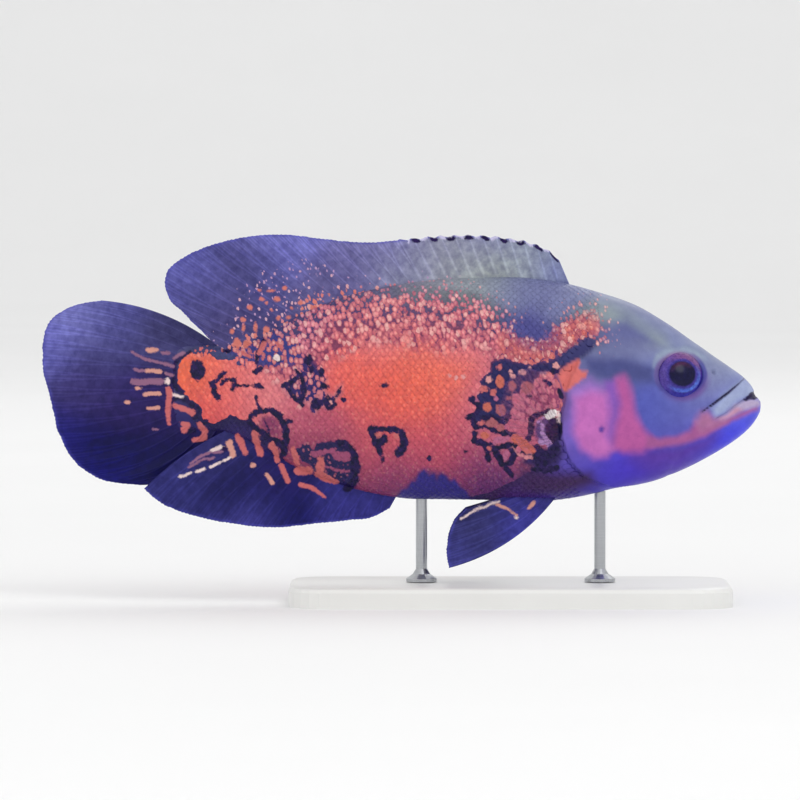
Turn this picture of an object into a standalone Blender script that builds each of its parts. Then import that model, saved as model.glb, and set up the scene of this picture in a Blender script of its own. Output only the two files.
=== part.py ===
"""An oscar fish as a still, life-size model on a plain display stand, in metres, +Z up.

The fish looks along +X and shows its right flank to -Y. Its shape is measured as a naturalist would:
s is the distance in millimetres behind the tip of the snout, h the height above the snout's own
level, and y the distance from the middle plane. The body is lofted whole from named profiles, then
parted with thin cuts into head, jaws, gill covers, trunk and tail stem. Fins are membranes whose
rays stand as ridges on both faces. The tail bends gently away from -Y.
"""

import math

import bmesh
import bpy
import numpy as np
from mathutils import Matrix, Vector

# Driving dimensions, in millimetres
MM = 0.001
LENGTH = 280.6
BODY_END = 227.0
GAP = 0.3
BASE_LENGTH = 172.0
BASE_WIDTH = 84.0
BASE_HEIGHT = 8.0
BASE_CORNER = 16.0
ROD_RADIUS = 2.2
ROD_FOOT_RADIUS = 6.0
ROD_FOOT_HEIGHT = 3.0
FIN_CLEARANCE = 6.0
LOWEST_FIN = -63.2
SNOUT_X = 97.5
SNOUT_Z = BASE_HEIGHT + FIN_CLEARANCE - LOWEST_FIN
ROD_PLACES = {"stand_rod_front": 62.4, "stand_rod_rear": 132.0}

# The tail's bend away from -Y: nothing before BEND_START, BEND_REACH at the tip of the tail
BEND_START = 164.0
BEND_REACH = 14.0
LOBE_SPLAY = 4.5

# Body profiles as (s, value): back line, belly line, half width and how square a section is
BACK = [(0.1, 1.4), (1.2, 3.2), (3.1, 6.6), (6.2, 10.6), (12.1, 15.0), (21.4, 21.3), (37.1, 32.4),
        (49.5, 39.4), (62.0, 43.7), (78.0, 47.8), (97.5, 49.9), (119.0, 49.5), (140.4, 47.2),
        (159.9, 42.9), (179.4, 35.5), (194.2, 26.6), (204.8, 22.8), (216.5, 23.4), (227.0, 23.8)]
BELLY = [(0.1, -2.7), (1.2, -4.9), (3.9, -8.6), (9.0, -13.1), (18.3, -19.1), (30.8, -25.5),
         (42.9, -30.0), (58.9, -33.1), (71.4, -35.9), (83.9, -37.3), (101.4, -37.1), (121.3, -36.8),
         (134.6, -36.7), (146.2, -35.3), (159.9, -32.2), (175.5, -26.9), (191.1, -19.1),
         (203.6, -12.5), (214.5, -10.2), (227.0, -10.5)]
HALF_WIDTH = [(0.1, 3.0), (1.2, 5.2), (3.1, 7.4), (6.2, 9.6), (12.1, 12.2), (21.4, 14.8), (37.1, 18.0),
              (49.5, 20.0), (62.0, 21.2), (78.0, 21.5), (97.5, 20.8), (119.0, 19.2), (140.4, 16.6),
              (159.9, 13.6), (179.4, 10.0), (194.2, 7.6), (204.8, 6.1), (216.5, 4.6), (227.0, 2.4)]
SQUARE_ABOVE = [(0.0, 2.3), (40.0, 2.2), (80.0, 1.95), (160.0, 1.9), (227.0, 2.1)]
SQUARE_BELOW = [(0.0, 2.4), (50.0, 2.3), (110.0, 2.2), (170.0, 1.95), (227.0, 2.1)]
STATIONS = 44
AROUND = 32

# Parting lines on the side view, as (s, h)
MOUTH_CORNER = (17.2, -4.3)
MOUTH_TOP = [(-1.6, 6.3), (3.1, 5.9), (6.6, 2.9), (11.7, -1.1)]
MOUTH_BOTTOM = [(-1.6, 1.8), (4.7, 2.5), (8.8, 0.7), (11.7, -1.5)]
LIP_GROOVE = [(1.6, 15.1), (6.8, 10.1), (12.5, 5.5), (18.3, 1.2), (23.4, -2.3)]
JAW_BACK = [(23.4, -7.4), (29.6, -16.8), (35.9, -29.2), (40.0, -42.0)]
NAPE_LINE = [(60.0, 70.0), (62.4, 54.6), (64.7, 31.2), (68.6, 20.7), (72.2, 9.8), (73.7, -2.0),
             (73.3, -13.7), (68.6, -23.0), (62.4, -30.0), (57.5, -37.1), (53.8, -60.0)]
TAIL_CUT = 204.8
FAR = 60.0
MOUTH_ZONE = [*LIP_GROOVE, MOUTH_CORNER, *JAW_BACK, (-FAR, -42.0), (-FAR, 15.1)]
LIP_ZONE = [*LIP_GROOVE, MOUTH_CORNER, *MOUTH_TOP[::-1], (-FAR, 6.3), (-FAR, 15.1)]
JAW_ZONE = [(-FAR, 1.8), *MOUTH_BOTTOM, MOUTH_CORNER, *JAW_BACK, (-FAR, -42.0)]
TONGUE_ZONE = [*MOUTH_TOP, MOUTH_CORNER, (17.2, -9.0), (-1.6, -3.0)]
HEAD_ZONE = [*NAPE_LINE, (-FAR, -60.0), (-FAR, 70.0)]
TRUNK_ZONE = [(TAIL_CUT, 70.0), *NAPE_LINE, (TAIL_CUT, -60.0)]
TAIL_ZONE = [(TAIL_CUT, 70.0), (TAIL_CUT, -60.0), (300.0, -60.0), (300.0, 70.0)]
GILL_FRONT = [(57.7, 22.6), (53.8, 12.9), (50.3, 2.0), (48.4, -7.8), (49.1, -17.6), (53.8, -28.0)]
GILL_REAR = [(65.5, 22.6), (71.4, 17.6), (76.4, 3.9), (77.6, -11.7), (74.1, -21.4), (66.3, -28.4)]
GILL_RAISE = 0.9
GILL_DEPTH = 2.4
GILL_THINNING = 1.0
GILL_COLUMNS = 8
GILL_ROWS = 13

# Eyes, nostrils and lips
EYE_PLACE = (30.4, 11.5)
EYE_RADIUS = 10.0
EYE_DOME = 7.0
EYE_SUNK = 4.5
RIM_RADIUS = 8.7
RIM_THICKNESS = 1.3
RIM_SEGMENTS = 20
RIM_SIDES = 6
NOSTRIL_PLACE = (18.4, 13.2)
NOSTRIL_RADIUS = 1.1
NOSTRIL_DEPTH = 1.4
# The mouth floor lies this far inside the lips
MOUTH_DEPTH = 2.4
LIP_BULGE = 1.7
LIP_SUNK = 1.1
LIP_STATIONS = 13
LIP_AROUND = 6
UPPER_LIP_LINE = [(3.9, 7.0), (8.0, 4.6), (13.4, 0.8), (19.0, -2.4)]
UPPER_LIP_HEIGHT = 2.2
LOWER_LIP_LINE = [(0.3, 0.4), (4.0, 0.0), (10.0, -3.0), (17.5, -7.2)]
LOWER_LIP_HEIGHT = 1.6

# Fins: outlines as (s, h) of the roots and of the tips, from the first ray to the last
SPINY_ROOT = [(73.4, 44.8), (83.9, 46.8), (97.5, 47.9), (113.1, 47.7), (130.7, 46.4)]
SPINY_TIP = [(78.4, 56.6), (82.4, 60.4), (89.8, 63.6), (99.4, 65.5), (111.9, 66.4), (127.5, 66.0),
             (140.8, 64.7)]
SOFT_ROOT = [(131.1, 46.4), (152.1, 42.6), (171.6, 36.2), (187.2, 28.4), (203.5, 20.0)]
SOFT_TIP = [(141.2, 64.4), (155.6, 63.6), (168.1, 64.7), (183.7, 66.5), (199.3, 65.9), (211.8, 63.2),
            (224.2, 58.1), (230.5, 53.4), (232.4, 47.6), (230.5, 41.3), (224.2, 35.5), (216.8, 28.1)]
ANAL_ROOT = [(140.8, -33.8), (156.0, -31.0), (171.6, -26.2), (187.2, -18.6), (206.0, -9.0)]
ANAL_TIP = [(144.6, -40.6), (151.5, -44.2), (161.8, -45.4), (174.3, -46.6), (186.8, -47.8),
            (199.3, -47.4), (211.8, -45.5), (224.2, -42.4), (234.0, -38.2), (240.4, -32.8)]
CAUDAL_ROOT = [(208.5, 20.6), (221.0, 15.6), (222.4, 6.4), (221.0, -2.7), (210.2, -8.0)]
CAUDAL_TIP = [(257.4, 40.7), (264.8, 39.6), (272.2, 36.8), (278.1, 31.8), (280.5, 23.4),
              (280.5, 14.8), (277.3, 0.8), (274.2, -11.7), (268.3, -22.2), (258.6, -29.1),
              (249.6, -31.2), (242.6, -31.6)]
PECTORAL_ROOT = [(80.4, -3.5), (80.9, -14.0)]
PECTORAL_TIP = [(85.8, 14.6), (92.8, 15.6), (99.2, 11.2), (102.2, 3.2), (100.6, -5.8), (95.2, -12.8),
                (88.6, -16.4)]
PECTORAL_REACH = [21.0, 28.0, 32.0, 33.0, 31.0, 26.0, 19.0]
PELVIC_ROOT = [(78.4, -34.0), (85.0, -34.2), (94.0, -34.2)]
PELVIC_TIP = [(121.6, -63.2), (122.4, -57.3), (121.6, -51.1), (119.2, -44.8), (115.2, -40.4)]
PELVIC_SPREAD = (5.2, 11.0)
PELVIC_BOW = 4.6

MEMBRANE = 0.55
RAY_CREST = 0.7
SPINE_CREST = 1.0
SHEATH = 1.7
SHEATH_FADE = 4


def profile(points):
    """A smooth curve through (s, value) that never overshoots: cubic pieces with limited slopes."""
    at, value = np.array(points, float).T
    step = np.diff(at)
    slope = np.diff(value) / step
    rising = slope[:-1] * slope[1:] > 0
    total = np.where(rising, slope[:-1] + slope[1:], 1.0)
    inner = np.where(rising, 2 * slope[:-1] * slope[1:] / total, 0.0)
    tangent = np.concatenate(([slope[0]], inner, [slope[-1]]))

    def read(s):
        s = np.asarray(s, float)
        i = np.clip(np.searchsorted(at, s) - 1, 0, len(step) - 1)
        t = np.clip((s - at[i]) / step[i], 0, 1)
        first = (1 + 2 * t) * (1 - t) ** 2 * value[i] + t * (1 - t) ** 2 * step[i] * tangent[i]
        last = t * t * (3 - 2 * t) * value[i + 1] - t * t * (1 - t) * step[i] * tangent[i + 1]
        return first + last

    return read


def curve(points, t):
    """Points at t, from 0 to 1 by length, on a smooth line through the given points."""
    points = np.array(points, float)
    steps = np.linalg.norm(np.diff(points, axis=0), axis=1)
    knots = np.concatenate(([0.0], np.cumsum(steps))) / steps.sum()
    tangents = np.gradient(points, knots, axis=0)
    t = np.clip(np.asarray(t, float), 0, 1)
    i = np.clip(np.searchsorted(knots, t) - 1, 0, len(steps) - 1)
    width = (knots[i + 1] - knots[i])[:, None]
    f = ((t - knots[i]) / (knots[i + 1] - knots[i]))[:, None]
    first = (1 + 2 * f) * (1 - f) ** 2 * points[i] + f * (1 - f) ** 2 * width * tangents[i]
    last = f * f * (3 - 2 * f) * points[i + 1] - f * f * (1 - f) * width * tangents[i + 1]
    return first + last


back = profile(BACK)
belly = profile(BELLY)
half_width = profile(HALF_WIDTH)
square_above = profile(SQUARE_ABOVE)
square_below = profile(SQUARE_BELOW)


def middle(s):
    """Height of the widest place of the section at s."""
    return 0.5 * (back(s) + belly(s))


def flank(s, h):
    """Distance of the body's side from the middle plane at the place s, h of the side view."""
    centre = middle(s)
    above = h >= centre
    reach = np.where(above, back(s) - centre, centre - belly(s))
    square = np.where(above, square_above(s), square_below(s))
    part = np.clip(np.abs(h - centre) / reach, 0, 1)
    return half_width(s) * (1 - part ** square) ** (1 / square)


def outward(s, h):
    """Unit vector (along s, y, h) that points straight out of the left flank at s, h."""
    step = 0.4
    along = (flank(s + step, h) - flank(s - step, h)) / (2 * step)
    up = (flank(s, h + step) - flank(s, h - step)) / (2 * step)
    way = np.stack([-along, np.ones_like(along), -up], axis=-1)
    return way / np.linalg.norm(way, axis=-1, keepdims=True)


def bend(s):
    """How far the tail has turned away from -Y at s."""
    return BEND_REACH * (np.clip(s - BEND_START, 0, None) / (LENGTH - BEND_START)) ** 2


def place(s, y, h):
    """World point in metres of a point given as s, y, h in millimetres."""
    return np.stack([SNOUT_X - np.asarray(s), np.asarray(y), SNOUT_Z + np.asarray(h)], axis=-1) * MM


def mesh_object(name, points, faces):
    mesh = bpy.data.meshes.new(name)
    mesh.from_pydata([tuple(p) for p in points], [], [tuple(f) for f in faces])
    made = bmesh.new()
    made.from_mesh(mesh)
    bmesh.ops.triangulate(made, faces=[f for f in made.faces if len(f.verts) > 3])
    bmesh.ops.recalc_face_normals(made, faces=made.faces)
    made.to_mesh(mesh)
    made.free()
    thing = bpy.data.objects.new(name, mesh)
    bpy.context.scene.collection.objects.link(thing)
    return thing


def remove(thing):
    mesh = thing.data
    bpy.data.objects.remove(thing)
    bpy.data.meshes.remove(mesh)


def applied(thing, other, operation, solver):
    """The mesh that a cut, union or crossing of two things makes."""
    change = thing.modifiers.new("cut", "BOOLEAN")
    change.object = other
    change.operation = operation
    change.solver = solver
    graph = bpy.context.evaluated_depsgraph_get()
    mesh = bpy.data.meshes.new_from_object(thing.evaluated_get(graph))
    thing.modifiers.remove(change)
    return mesh


def is_closed(mesh):
    made = bmesh.new()
    made.from_mesh(mesh)
    closed = len(made.faces) > 0 and all(edge.is_manifold for edge in made.edges)
    made.free()
    return closed


def boolean(thing, other, operation):
    """Cuts, joins or crosses a mesh with another one, which is used up."""
    mesh = applied(thing, other, operation, "EXACT")
    if not is_closed(mesh):
        mesh = applied(thing, other, operation, "MANIFOLD")
    old = thing.data
    thing.data = mesh
    bpy.data.meshes.remove(old)
    remove(other)
    return thing


def keep_largest(thing):
    """Drops every loose closed surface but the largest."""
    made = bmesh.new()
    made.from_mesh(thing.data)
    left = set(made.verts)
    groups = []
    while left:
        stack = [left.pop()]
        group = set(stack)
        while stack:
            for edge in stack.pop().link_edges:
                for vert in edge.verts:
                    if vert in left:
                        left.remove(vert)
                        group.add(vert)
                        stack.append(vert)
        groups.append(group)
    groups.sort(key=len)
    for group in groups[:-1]:
        bmesh.ops.delete(made, geom=list(group), context="VERTS")
    made.to_mesh(thing.data)
    made.free()


def grid_faces(rows, columns, start=0, wrap=False):
    """Quads of a grid of points stored row by row; wrap closes each row into a ring."""
    faces = []
    for r in range(rows - 1):
        for c in range(columns if wrap else columns - 1):
            d = (c + 1) % columns
            low, high = start + r * columns, start + (r + 1) * columns
            faces.append((low + c, low + d, high + d, high + c))
    return faces


def body_solid(grow=0.0):
    """The whole body without fins, lofted from rings; grow moves its surface outwards."""
    t = np.linspace(0, 1, STATIONS)
    s = 0.1 + (BODY_END - 0.1) * t ** 1.5
    angle = np.linspace(0, 2 * np.pi, AROUND, endpoint=False)
    c, d = np.cos(angle)[None, :], np.sin(angle)[None, :]
    power = np.where(c >= 0, 2 / square_above(s)[:, None], 2 / square_below(s)[:, None])
    reach = np.where(c >= 0, (back(s) - middle(s))[:, None], (middle(s) - belly(s))[:, None]) + grow
    h = middle(s)[:, None] + reach * np.sign(c) * np.abs(c) ** power
    y = (half_width(s)[:, None] + grow) * np.sign(d) * np.abs(d) ** power
    ends = np.zeros(STATIONS)
    ends[0], ends[-1] = -grow, grow
    rings = place(np.broadcast_to((s + ends)[:, None], y.shape), y, h).reshape(-1, 3)
    faces = grid_faces(STATIONS, AROUND, wrap=True)
    faces.append(tuple(range(AROUND)))
    faces.append(tuple(range((STATIONS - 1) * AROUND, STATIONS * AROUND)))
    return mesh_object("body", rings, faces)


def offset(outline, by):
    """A closed side-view outline with each edge moved outwards by the given distance."""
    p = np.array(outline, float)
    turn = np.sum(p[:, 0] * np.roll(p[:, 1], -1) - np.roll(p[:, 0], -1) * p[:, 1])
    edge = np.roll(p, -1, axis=0) - p
    edge /= np.linalg.norm(edge, axis=1, keepdims=True)
    normal = np.stack([edge[:, 1], -edge[:, 0]], axis=1) * math.copysign(1, turn)
    before = np.roll(normal, 1, axis=0)
    together = 1 + np.sum(normal * before, axis=1, keepdims=True)
    return p + by * (normal + before) / together


def prism(outline, y_from=-60.0, y_to=60.0):
    """A side-view outline run straight through from one y to another."""
    p = np.array(outline, float)
    n = len(p)
    points = np.concatenate([place(p[:, 0], np.full(n, y), p[:, 1]) for y in (y_from, y_to)])
    faces = [tuple(range(n)), tuple(range(n, 2 * n))]
    faces += [(i, (i + 1) % n, n + (i + 1) % n, n + i) for i in range(n)]
    return mesh_object("prism", points, faces)


def body_part(name, outline):
    """The share of the body inside a side-view outline."""
    part = boolean(body_solid(), prism(outline), "INTERSECT")
    part.name = name
    return part


def closed_plate(name, upper, lower):
    """A closed body between two grids of points (s, y, h) that face each other.

    Both faces are split into the same triangles, so that they never cross.
    """
    rows, columns = upper.shape[:2]
    points = np.concatenate([upper.reshape(-1, 3), lower.reshape(-1, 3)])
    count = rows * columns
    faces = []
    for a, b, c, d in grid_faces(rows, columns):
        faces += [(a, b, c), (a, c, d)]
        faces += [(count + a, count + c, count + b), (count + a, count + d, count + c)]
    row = np.arange(count).reshape(rows, columns)
    rim = np.concatenate([row[0, :-1], row[:-1, -1], row[-1, :0:-1], row[:0:-1, 0]])
    for a, b in zip(rim, np.roll(rim, -1)):
        faces += [(a, b, count + b), (a, count + b, count + a)]
    return mesh_object(name, place(points[:, 0], points[:, 1], points[:, 2]), faces)


def membrane(name, surface, half):
    """A thin plate about a grid of points, reaching half on each side of it."""
    normal = np.cross(np.gradient(surface, axis=0), np.gradient(surface, axis=1))
    normal /= np.linalg.norm(normal, axis=2, keepdims=True)
    out = normal * half[:, :, None]
    return closed_plate(name, surface + out, surface - out)


def ray_pattern(rays):
    """Positions of the columns of a fin, and 1 on a ray's crest or 0 between two rays."""
    u = np.linspace(0, 1, 2 * rays - 1)
    crest = (np.arange(2 * rays - 1) % 2 == 0).astype(float)
    return u, crest


def fin(name, root, tip, rays, rows, side, bow=(0.0, 0.0), notch=0.4, crest_height=RAY_CREST,
        sheath=SHEATH):
    """A fin between a root line and a tip line, with rays running from one to the other.

    side(u, v, s) gives y. Rays bow by a share that goes from bow[0] at the first ray to bow[1] at
    the last. The membrane is notched between rays, and a fleshy sheath thickens the root, less at
    the first and last ray.
    """
    u, crest = ray_pattern(rays)
    v = np.linspace(0, 1, rows + 1)
    start, end = curve(root, u), curve(tip, u)
    along = end - start
    length = np.linalg.norm(along, axis=1, keepdims=True)
    across = np.stack([-along[:, 1], along[:, 0]], axis=1) / length
    reach = v[:, None] * (1 - (1 - crest) * notch / length[:, 0])[None, :]
    bowed = (bow[0] + (bow[1] - bow[0]) * u) * 4 * v[:, None] * (1 - v[:, None])
    flat = start[None] + along[None] * reach[..., None] + across[None] * bowed[..., None]
    y = side(u[None, :], v[:, None], flat[..., 0], start[None, :, 0])
    surface = np.stack([flat[..., 0], y, flat[..., 1]], axis=-1)
    ridge = crest_height * crest[None, :] * (1 - 0.6 * v[:, None])
    fleshy = sheath * (1 - 0.75 * np.abs(2 * u - 1) ** 4) * (1 - v[:, None]) ** SHEATH_FADE
    return membrane(name, surface, 0.5 * (MEMBRANE + ridge + fleshy))


def straight(u, v, s, root_s):
    """The middle plane, for fins that bend with the body."""
    return np.zeros(np.broadcast(u, v, s).shape)


def trailing(u, v, s, root_s):
    """Rear lobes keep the way their roots point and stand a little to -Y of the bent tail."""
    slope = 2 * BEND_REACH * np.clip(root_s - BEND_START, 0, None) / (LENGTH - BEND_START) ** 2
    lobe = bend(root_s) + 0.5 * slope * (s - root_s) - LOBE_SPLAY * u ** 2 * np.sqrt(v)
    return lobe - bend(s)


def seat(thing):
    """Ends a fin or rod face to face with the body, one gap away from it."""
    boolean(thing, body_solid(GAP), "DIFFERENCE")
    keep_largest(thing)
    return thing


def paired_fin(name, root, tip, rays, rows, notch=0.5, sheath=2.4, cup=0.0, bow=0.0):
    """A pectoral or pelvic fin between lines of points (s, y, h), cupped a little.

    bow carries the first ray forwards and down at its middle, and the others less and less.
    """
    u, crest = ray_pattern(rays)
    v = np.linspace(0, 1, rows + 1)
    start, end = curve(root, u), curve(tip, u)
    length = np.linalg.norm(end - start, axis=1)
    reach = v[:, None] * (1 - (1 - crest) * notch / length)[None, :]
    surface = start[None] + (end - start)[None] * reach[..., None]
    arch = 4 * (v * (1 - v))[:, None]
    surface[..., 1] += cup * arch * np.sin(np.pi * u)[None, :]
    surface[..., 0] -= bow * 0.55 * arch * (1 - u)[None, :] ** 1.5
    surface[..., 2] -= bow * 0.84 * arch * (1 - u)[None, :] ** 1.5
    ridge = RAY_CREST * crest[None, :] * (1 - 0.5 * v[:, None])
    fleshy = sheath * (1 - v[:, None]) ** SHEATH_FADE
    return membrane(name, surface, 0.5 * (MEMBRANE + ridge + fleshy))


def pectoral_fin(name, way):
    """A rounded fan that stands out, back and up from behind the gill cover."""
    root_sh = curve(PECTORAL_ROOT, np.linspace(0, 1, 3))
    root_y = flank(root_sh[:, 0], root_sh[:, 1]) - 3.0
    root = np.stack([root_sh[:, 0], way * root_y, root_sh[:, 1]], axis=1)
    tip_sh = np.array(PECTORAL_TIP)
    tip_y = flank(root_sh[1, 0], root_sh[1, 1]) + np.array(PECTORAL_REACH)
    tip = np.stack([tip_sh[:, 0], way * tip_y, tip_sh[:, 1]], axis=1)
    return seat(paired_fin(name, root, tip, rays=12, rows=5, cup=way * 1.5))


def pelvic_fin(name, way):
    """A pointed fin slanting down and back from the belly, spread a little from its partner."""
    root_sh, tip_sh = np.array(PELVIC_ROOT), np.array(PELVIC_TIP)
    root_y = np.full(len(root_sh), way * PELVIC_SPREAD[0])
    tip_y = way * np.linspace(PELVIC_SPREAD[1], PELVIC_SPREAD[0] + 2.0, len(tip_sh))
    root = np.stack([root_sh[:, 0], root_y, root_sh[:, 1]], axis=1)
    tip = np.stack([tip_sh[:, 0], tip_y, tip_sh[:, 1]], axis=1)
    return seat(paired_fin(name, root, tip, rays=6, rows=7, sheath=2.0, cup=way * 1.0,
                           bow=PELVIC_BOW))


def gill_plate(name, way, grow, raised, depth):
    """A plate along the flank between the gill cover's edges, from depth below the skin to raised
    above it. Both are functions of u, from 0 at the front edge to 1 at the rear."""
    u = np.linspace(0, 1, GILL_COLUMNS)[None, :, None]
    t = np.linspace(0, 1, GILL_ROWS)
    front, rear = curve(GILL_FRONT, t), curve(GILL_REAR, t)
    taller = grow * np.linspace(1, -1, GILL_ROWS).round()
    front[:, 1] += taller
    rear[:, 1] += taller
    across = grow * (rear - front) / np.linalg.norm(rear - front, axis=1, keepdims=True)
    sh = (front - across)[:, None] * (1 - u) + (rear + across)[:, None] * u
    s, h = sh[..., 0], sh[..., 1]
    skin = np.stack([s, flank(s, h), h], axis=-1)
    out = outward(s, h)
    upper, lower = skin + out * raised(u), skin - out * depth(u)
    mirror = np.array([1, way, 1])
    return closed_plate(name, upper * mirror, lower * mirror)


def gill_cover(name, way):
    """A flap that lies flush in front and stands up from the trunk along its rear edge."""
    return gill_plate(name, way, 0.0, lambda u: 0.15 + GILL_RAISE * u ** 2,
                      lambda u: GILL_DEPTH - GILL_THINNING * u)


def gill_recess(way):
    """The cutter that makes room for a gill cover."""
    return gill_plate("gill_recess", way, GAP, lambda u: 4 * GILL_RAISE + 0 * u,
                      lambda u: GILL_DEPTH + GAP + 0 * u)


def head_frame(place_sh, way, sunk):
    """Turned axes at a place on the head, sunk below the skin: local Z points straight out."""
    s, h = (np.array(value) for value in place_sh)
    out = outward(s, h)
    spot = np.array([s, flank(s, h), h]) - out * sunk
    spot[1] *= way
    axis = Vector((-out[0], way * out[1], out[2]))
    return Matrix.Translation(place(*spot)) @ axis.to_track_quat("Z", "Y").to_matrix().to_4x4()


def turned(name, outline, frame, segments=20):
    """A solid turned about a local Z axis from (radius, height) points, first and last on it."""
    angle = np.linspace(0, 2 * np.pi, segments, endpoint=False)
    inner = outline[1:-1]
    points = [(0, 0, outline[0][1])]
    for radius, height in inner:
        points += [(radius * math.cos(a), radius * math.sin(a), height) for a in angle]
    points.append((0, 0, outline[-1][1]))
    last = len(points) - 1
    faces = grid_faces(len(inner), segments, start=1, wrap=True)
    for i in range(segments):
        j = (i + 1) % segments
        faces.append((0, 1 + j, 1 + i))
        faces.append((last, last - segments + i, last - segments + j))
    return mesh_object(name, [frame @ (Vector(p) * MM) for p in points], faces)


def eyeball(name, way, grow=0.0):
    frame = head_frame(EYE_PLACE, way, EYE_SUNK)
    turns = np.linspace(np.pi, 0, 10)
    outline = [((EYE_RADIUS + grow) * math.sin(a), (EYE_DOME + grow) * math.cos(a)) for a in turns]
    return turned(name, outline, frame)


def eye_rim(way):
    """The raised ring of skin about an eye."""
    frame = head_frame(EYE_PLACE, way, 0.2)
    wide, thin = RIM_SEGMENTS, RIM_SIDES
    points = []
    for a in np.linspace(0, 2 * np.pi, wide, endpoint=False):
        for b in np.linspace(0, 2 * np.pi, thin, endpoint=False):
            out = RIM_RADIUS + RIM_THICKNESS * math.cos(b)
            points.append(Vector((out * math.cos(a), out * math.sin(a), RIM_THICKNESS * math.sin(b))))
    faces = grid_faces(wide, thin, wrap=True)
    faces += [((wide - 1) * thin + i, (wide - 1) * thin + (i + 1) % thin, (i + 1) % thin, i)
              for i in range(thin)]
    return mesh_object("eye_rim", [frame @ (p * MM) for p in points], faces)


def nostril(way):
    frame = head_frame(NOSTRIL_PLACE, way, NOSTRIL_DEPTH)
    mouth = 2 * NOSTRIL_DEPTH
    outline = [(0, 0), (NOSTRIL_RADIUS / 2, 0), (NOSTRIL_RADIUS, mouth), (0, mouth)]
    return turned("nostril", outline, frame, segments=10)


def lip_roll(line, height):
    """A rounded roll that follows a lip from one mouth corner round the front to the other.

    line gives the lip's middle as (s, h) from the front to the corner. The path lies on the skin,
    and the roll's oval section shrinks towards the corners.
    """
    turn = np.linspace(0, np.pi / 2, LIP_STATIONS)
    s = line[0][0] + (line[-1][0] - line[0][0]) * (1 - np.cos(turn))
    h = profile(line)(s)
    y = flank(s, h)
    y[0] = 0.0
    right, left = np.stack([s, -y, h], axis=1), np.stack([s, y, h], axis=1)
    path = np.concatenate([right[::-1], left[1:]])
    along = np.gradient(path, axis=0)
    out = np.stack([-along[:, 1], along[:, 0], np.zeros(len(path))], axis=1)
    out /= np.linalg.norm(out, axis=1, keepdims=True)
    fade = np.clip(1.15 - turn / (np.pi / 2), 0.15, 1) ** 0.6
    size = np.concatenate([fade[::-1], fade[1:]])[:, None, None]
    angle = np.linspace(0, 2 * np.pi, LIP_AROUND, endpoint=False)[None, :, None]
    up = np.array([0.0, 0.0, 1.0])
    away = (LIP_BULGE * size * np.cos(angle) - LIP_SUNK) * out[:, None]
    points = (path[:, None] + away + height * size * np.sin(angle) * up).reshape(-1, 3)
    rows = len(path)
    faces = grid_faces(rows, LIP_AROUND, wrap=True)
    faces.append(tuple(range(LIP_AROUND)))
    faces.append(tuple(range((rows - 1) * LIP_AROUND, rows * LIP_AROUND)))
    return mesh_object("lip_roll", place(points[:, 0], points[:, 1], points[:, 2]), faces)


def body_nodes():
    """Head, jaws, gill covers, trunk and tail stem, parted from the one body."""
    head = body_part("head", offset(HEAD_ZONE, -GAP / 2))
    boolean(head, prism(offset(MOUTH_ZONE, GAP / 2)), "DIFFERENCE")
    trunk = body_part("trunk", offset(TRUNK_ZONE, -GAP / 2))
    tail_stem = body_part("tail_stem", offset(TAIL_ZONE, -GAP / 2))
    upper_lip = body_part("upper_lip", offset(LIP_ZONE, -GAP / 2))
    lower_jaw = body_part("lower_jaw", offset(JAW_ZONE, -GAP / 2))
    for way in (-1, 1):
        boolean(head, eye_rim(way), "UNION")
    for way, side in ((-1, "right"), (1, "left")):
        boolean(head, eyeball("socket", way, GAP), "DIFFERENCE")
        boolean(head, nostril(way), "DIFFERENCE")
        boolean(head, gill_recess(way), "DIFFERENCE")
        boolean(trunk, gill_recess(way), "DIFFERENCE")
        eyeball(f"eye_{side}", way)
        gill_cover(f"gill_cover_{side}", way)
    boolean(upper_lip, lip_roll(UPPER_LIP_LINE, UPPER_LIP_HEIGHT), "UNION")
    boolean(lower_jaw, lip_roll(LOWER_LIP_LINE, LOWER_LIP_HEIGHT), "UNION")
    floor = boolean(body_solid(-MOUTH_DEPTH), prism(offset(TONGUE_ZONE, -GAP)), "INTERSECT")
    boolean(lower_jaw, floor, "UNION")
    for node in (head, trunk, tail_stem, upper_lip, lower_jaw):
        keep_largest(node)


def fin_nodes():
    seat(fin("dorsal_fin_spiny", SPINY_ROOT, SPINY_TIP, rays=13, rows=4, side=straight,
             notch=1.3, crest_height=SPINE_CREST))
    seat(fin("dorsal_fin_soft", SOFT_ROOT, SOFT_TIP, rays=20, rows=6, side=trailing, bow=(0, -1.5)))
    seat(fin("anal_fin", ANAL_ROOT, ANAL_TIP, rays=18, rows=6, side=trailing, bow=(0, 2.0)))
    seat(fin("caudal_fin", CAUDAL_ROOT, CAUDAL_TIP, rays=18, rows=7, side=straight, bow=(4.2, -6.4),
             sheath=2.6))
    for way, side in ((-1, "right"), (1, "left")):
        pectoral_fin(f"pectoral_fin_{side}", way)
        pelvic_fin(f"pelvic_fin_{side}", way)


def bend_tail():
    """Turns every part of the fish away from -Y behind the start of the bend."""
    for thing in bpy.data.objects:
        mesh = thing.data
        made = bmesh.new()
        made.from_mesh(mesh)
        bmesh.ops.triangulate(made, faces=[f for f in made.faces if len(f.verts) > 3])
        made.to_mesh(mesh)
        made.free()
        points = np.empty(len(mesh.vertices) * 3, np.float32)
        mesh.vertices.foreach_get("co", points)
        points = points.reshape(-1, 3)
        points[:, 1] += bend(SNOUT_X - points[:, 0] / MM) * MM
        mesh.vertices.foreach_set("co", points.ravel())


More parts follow.
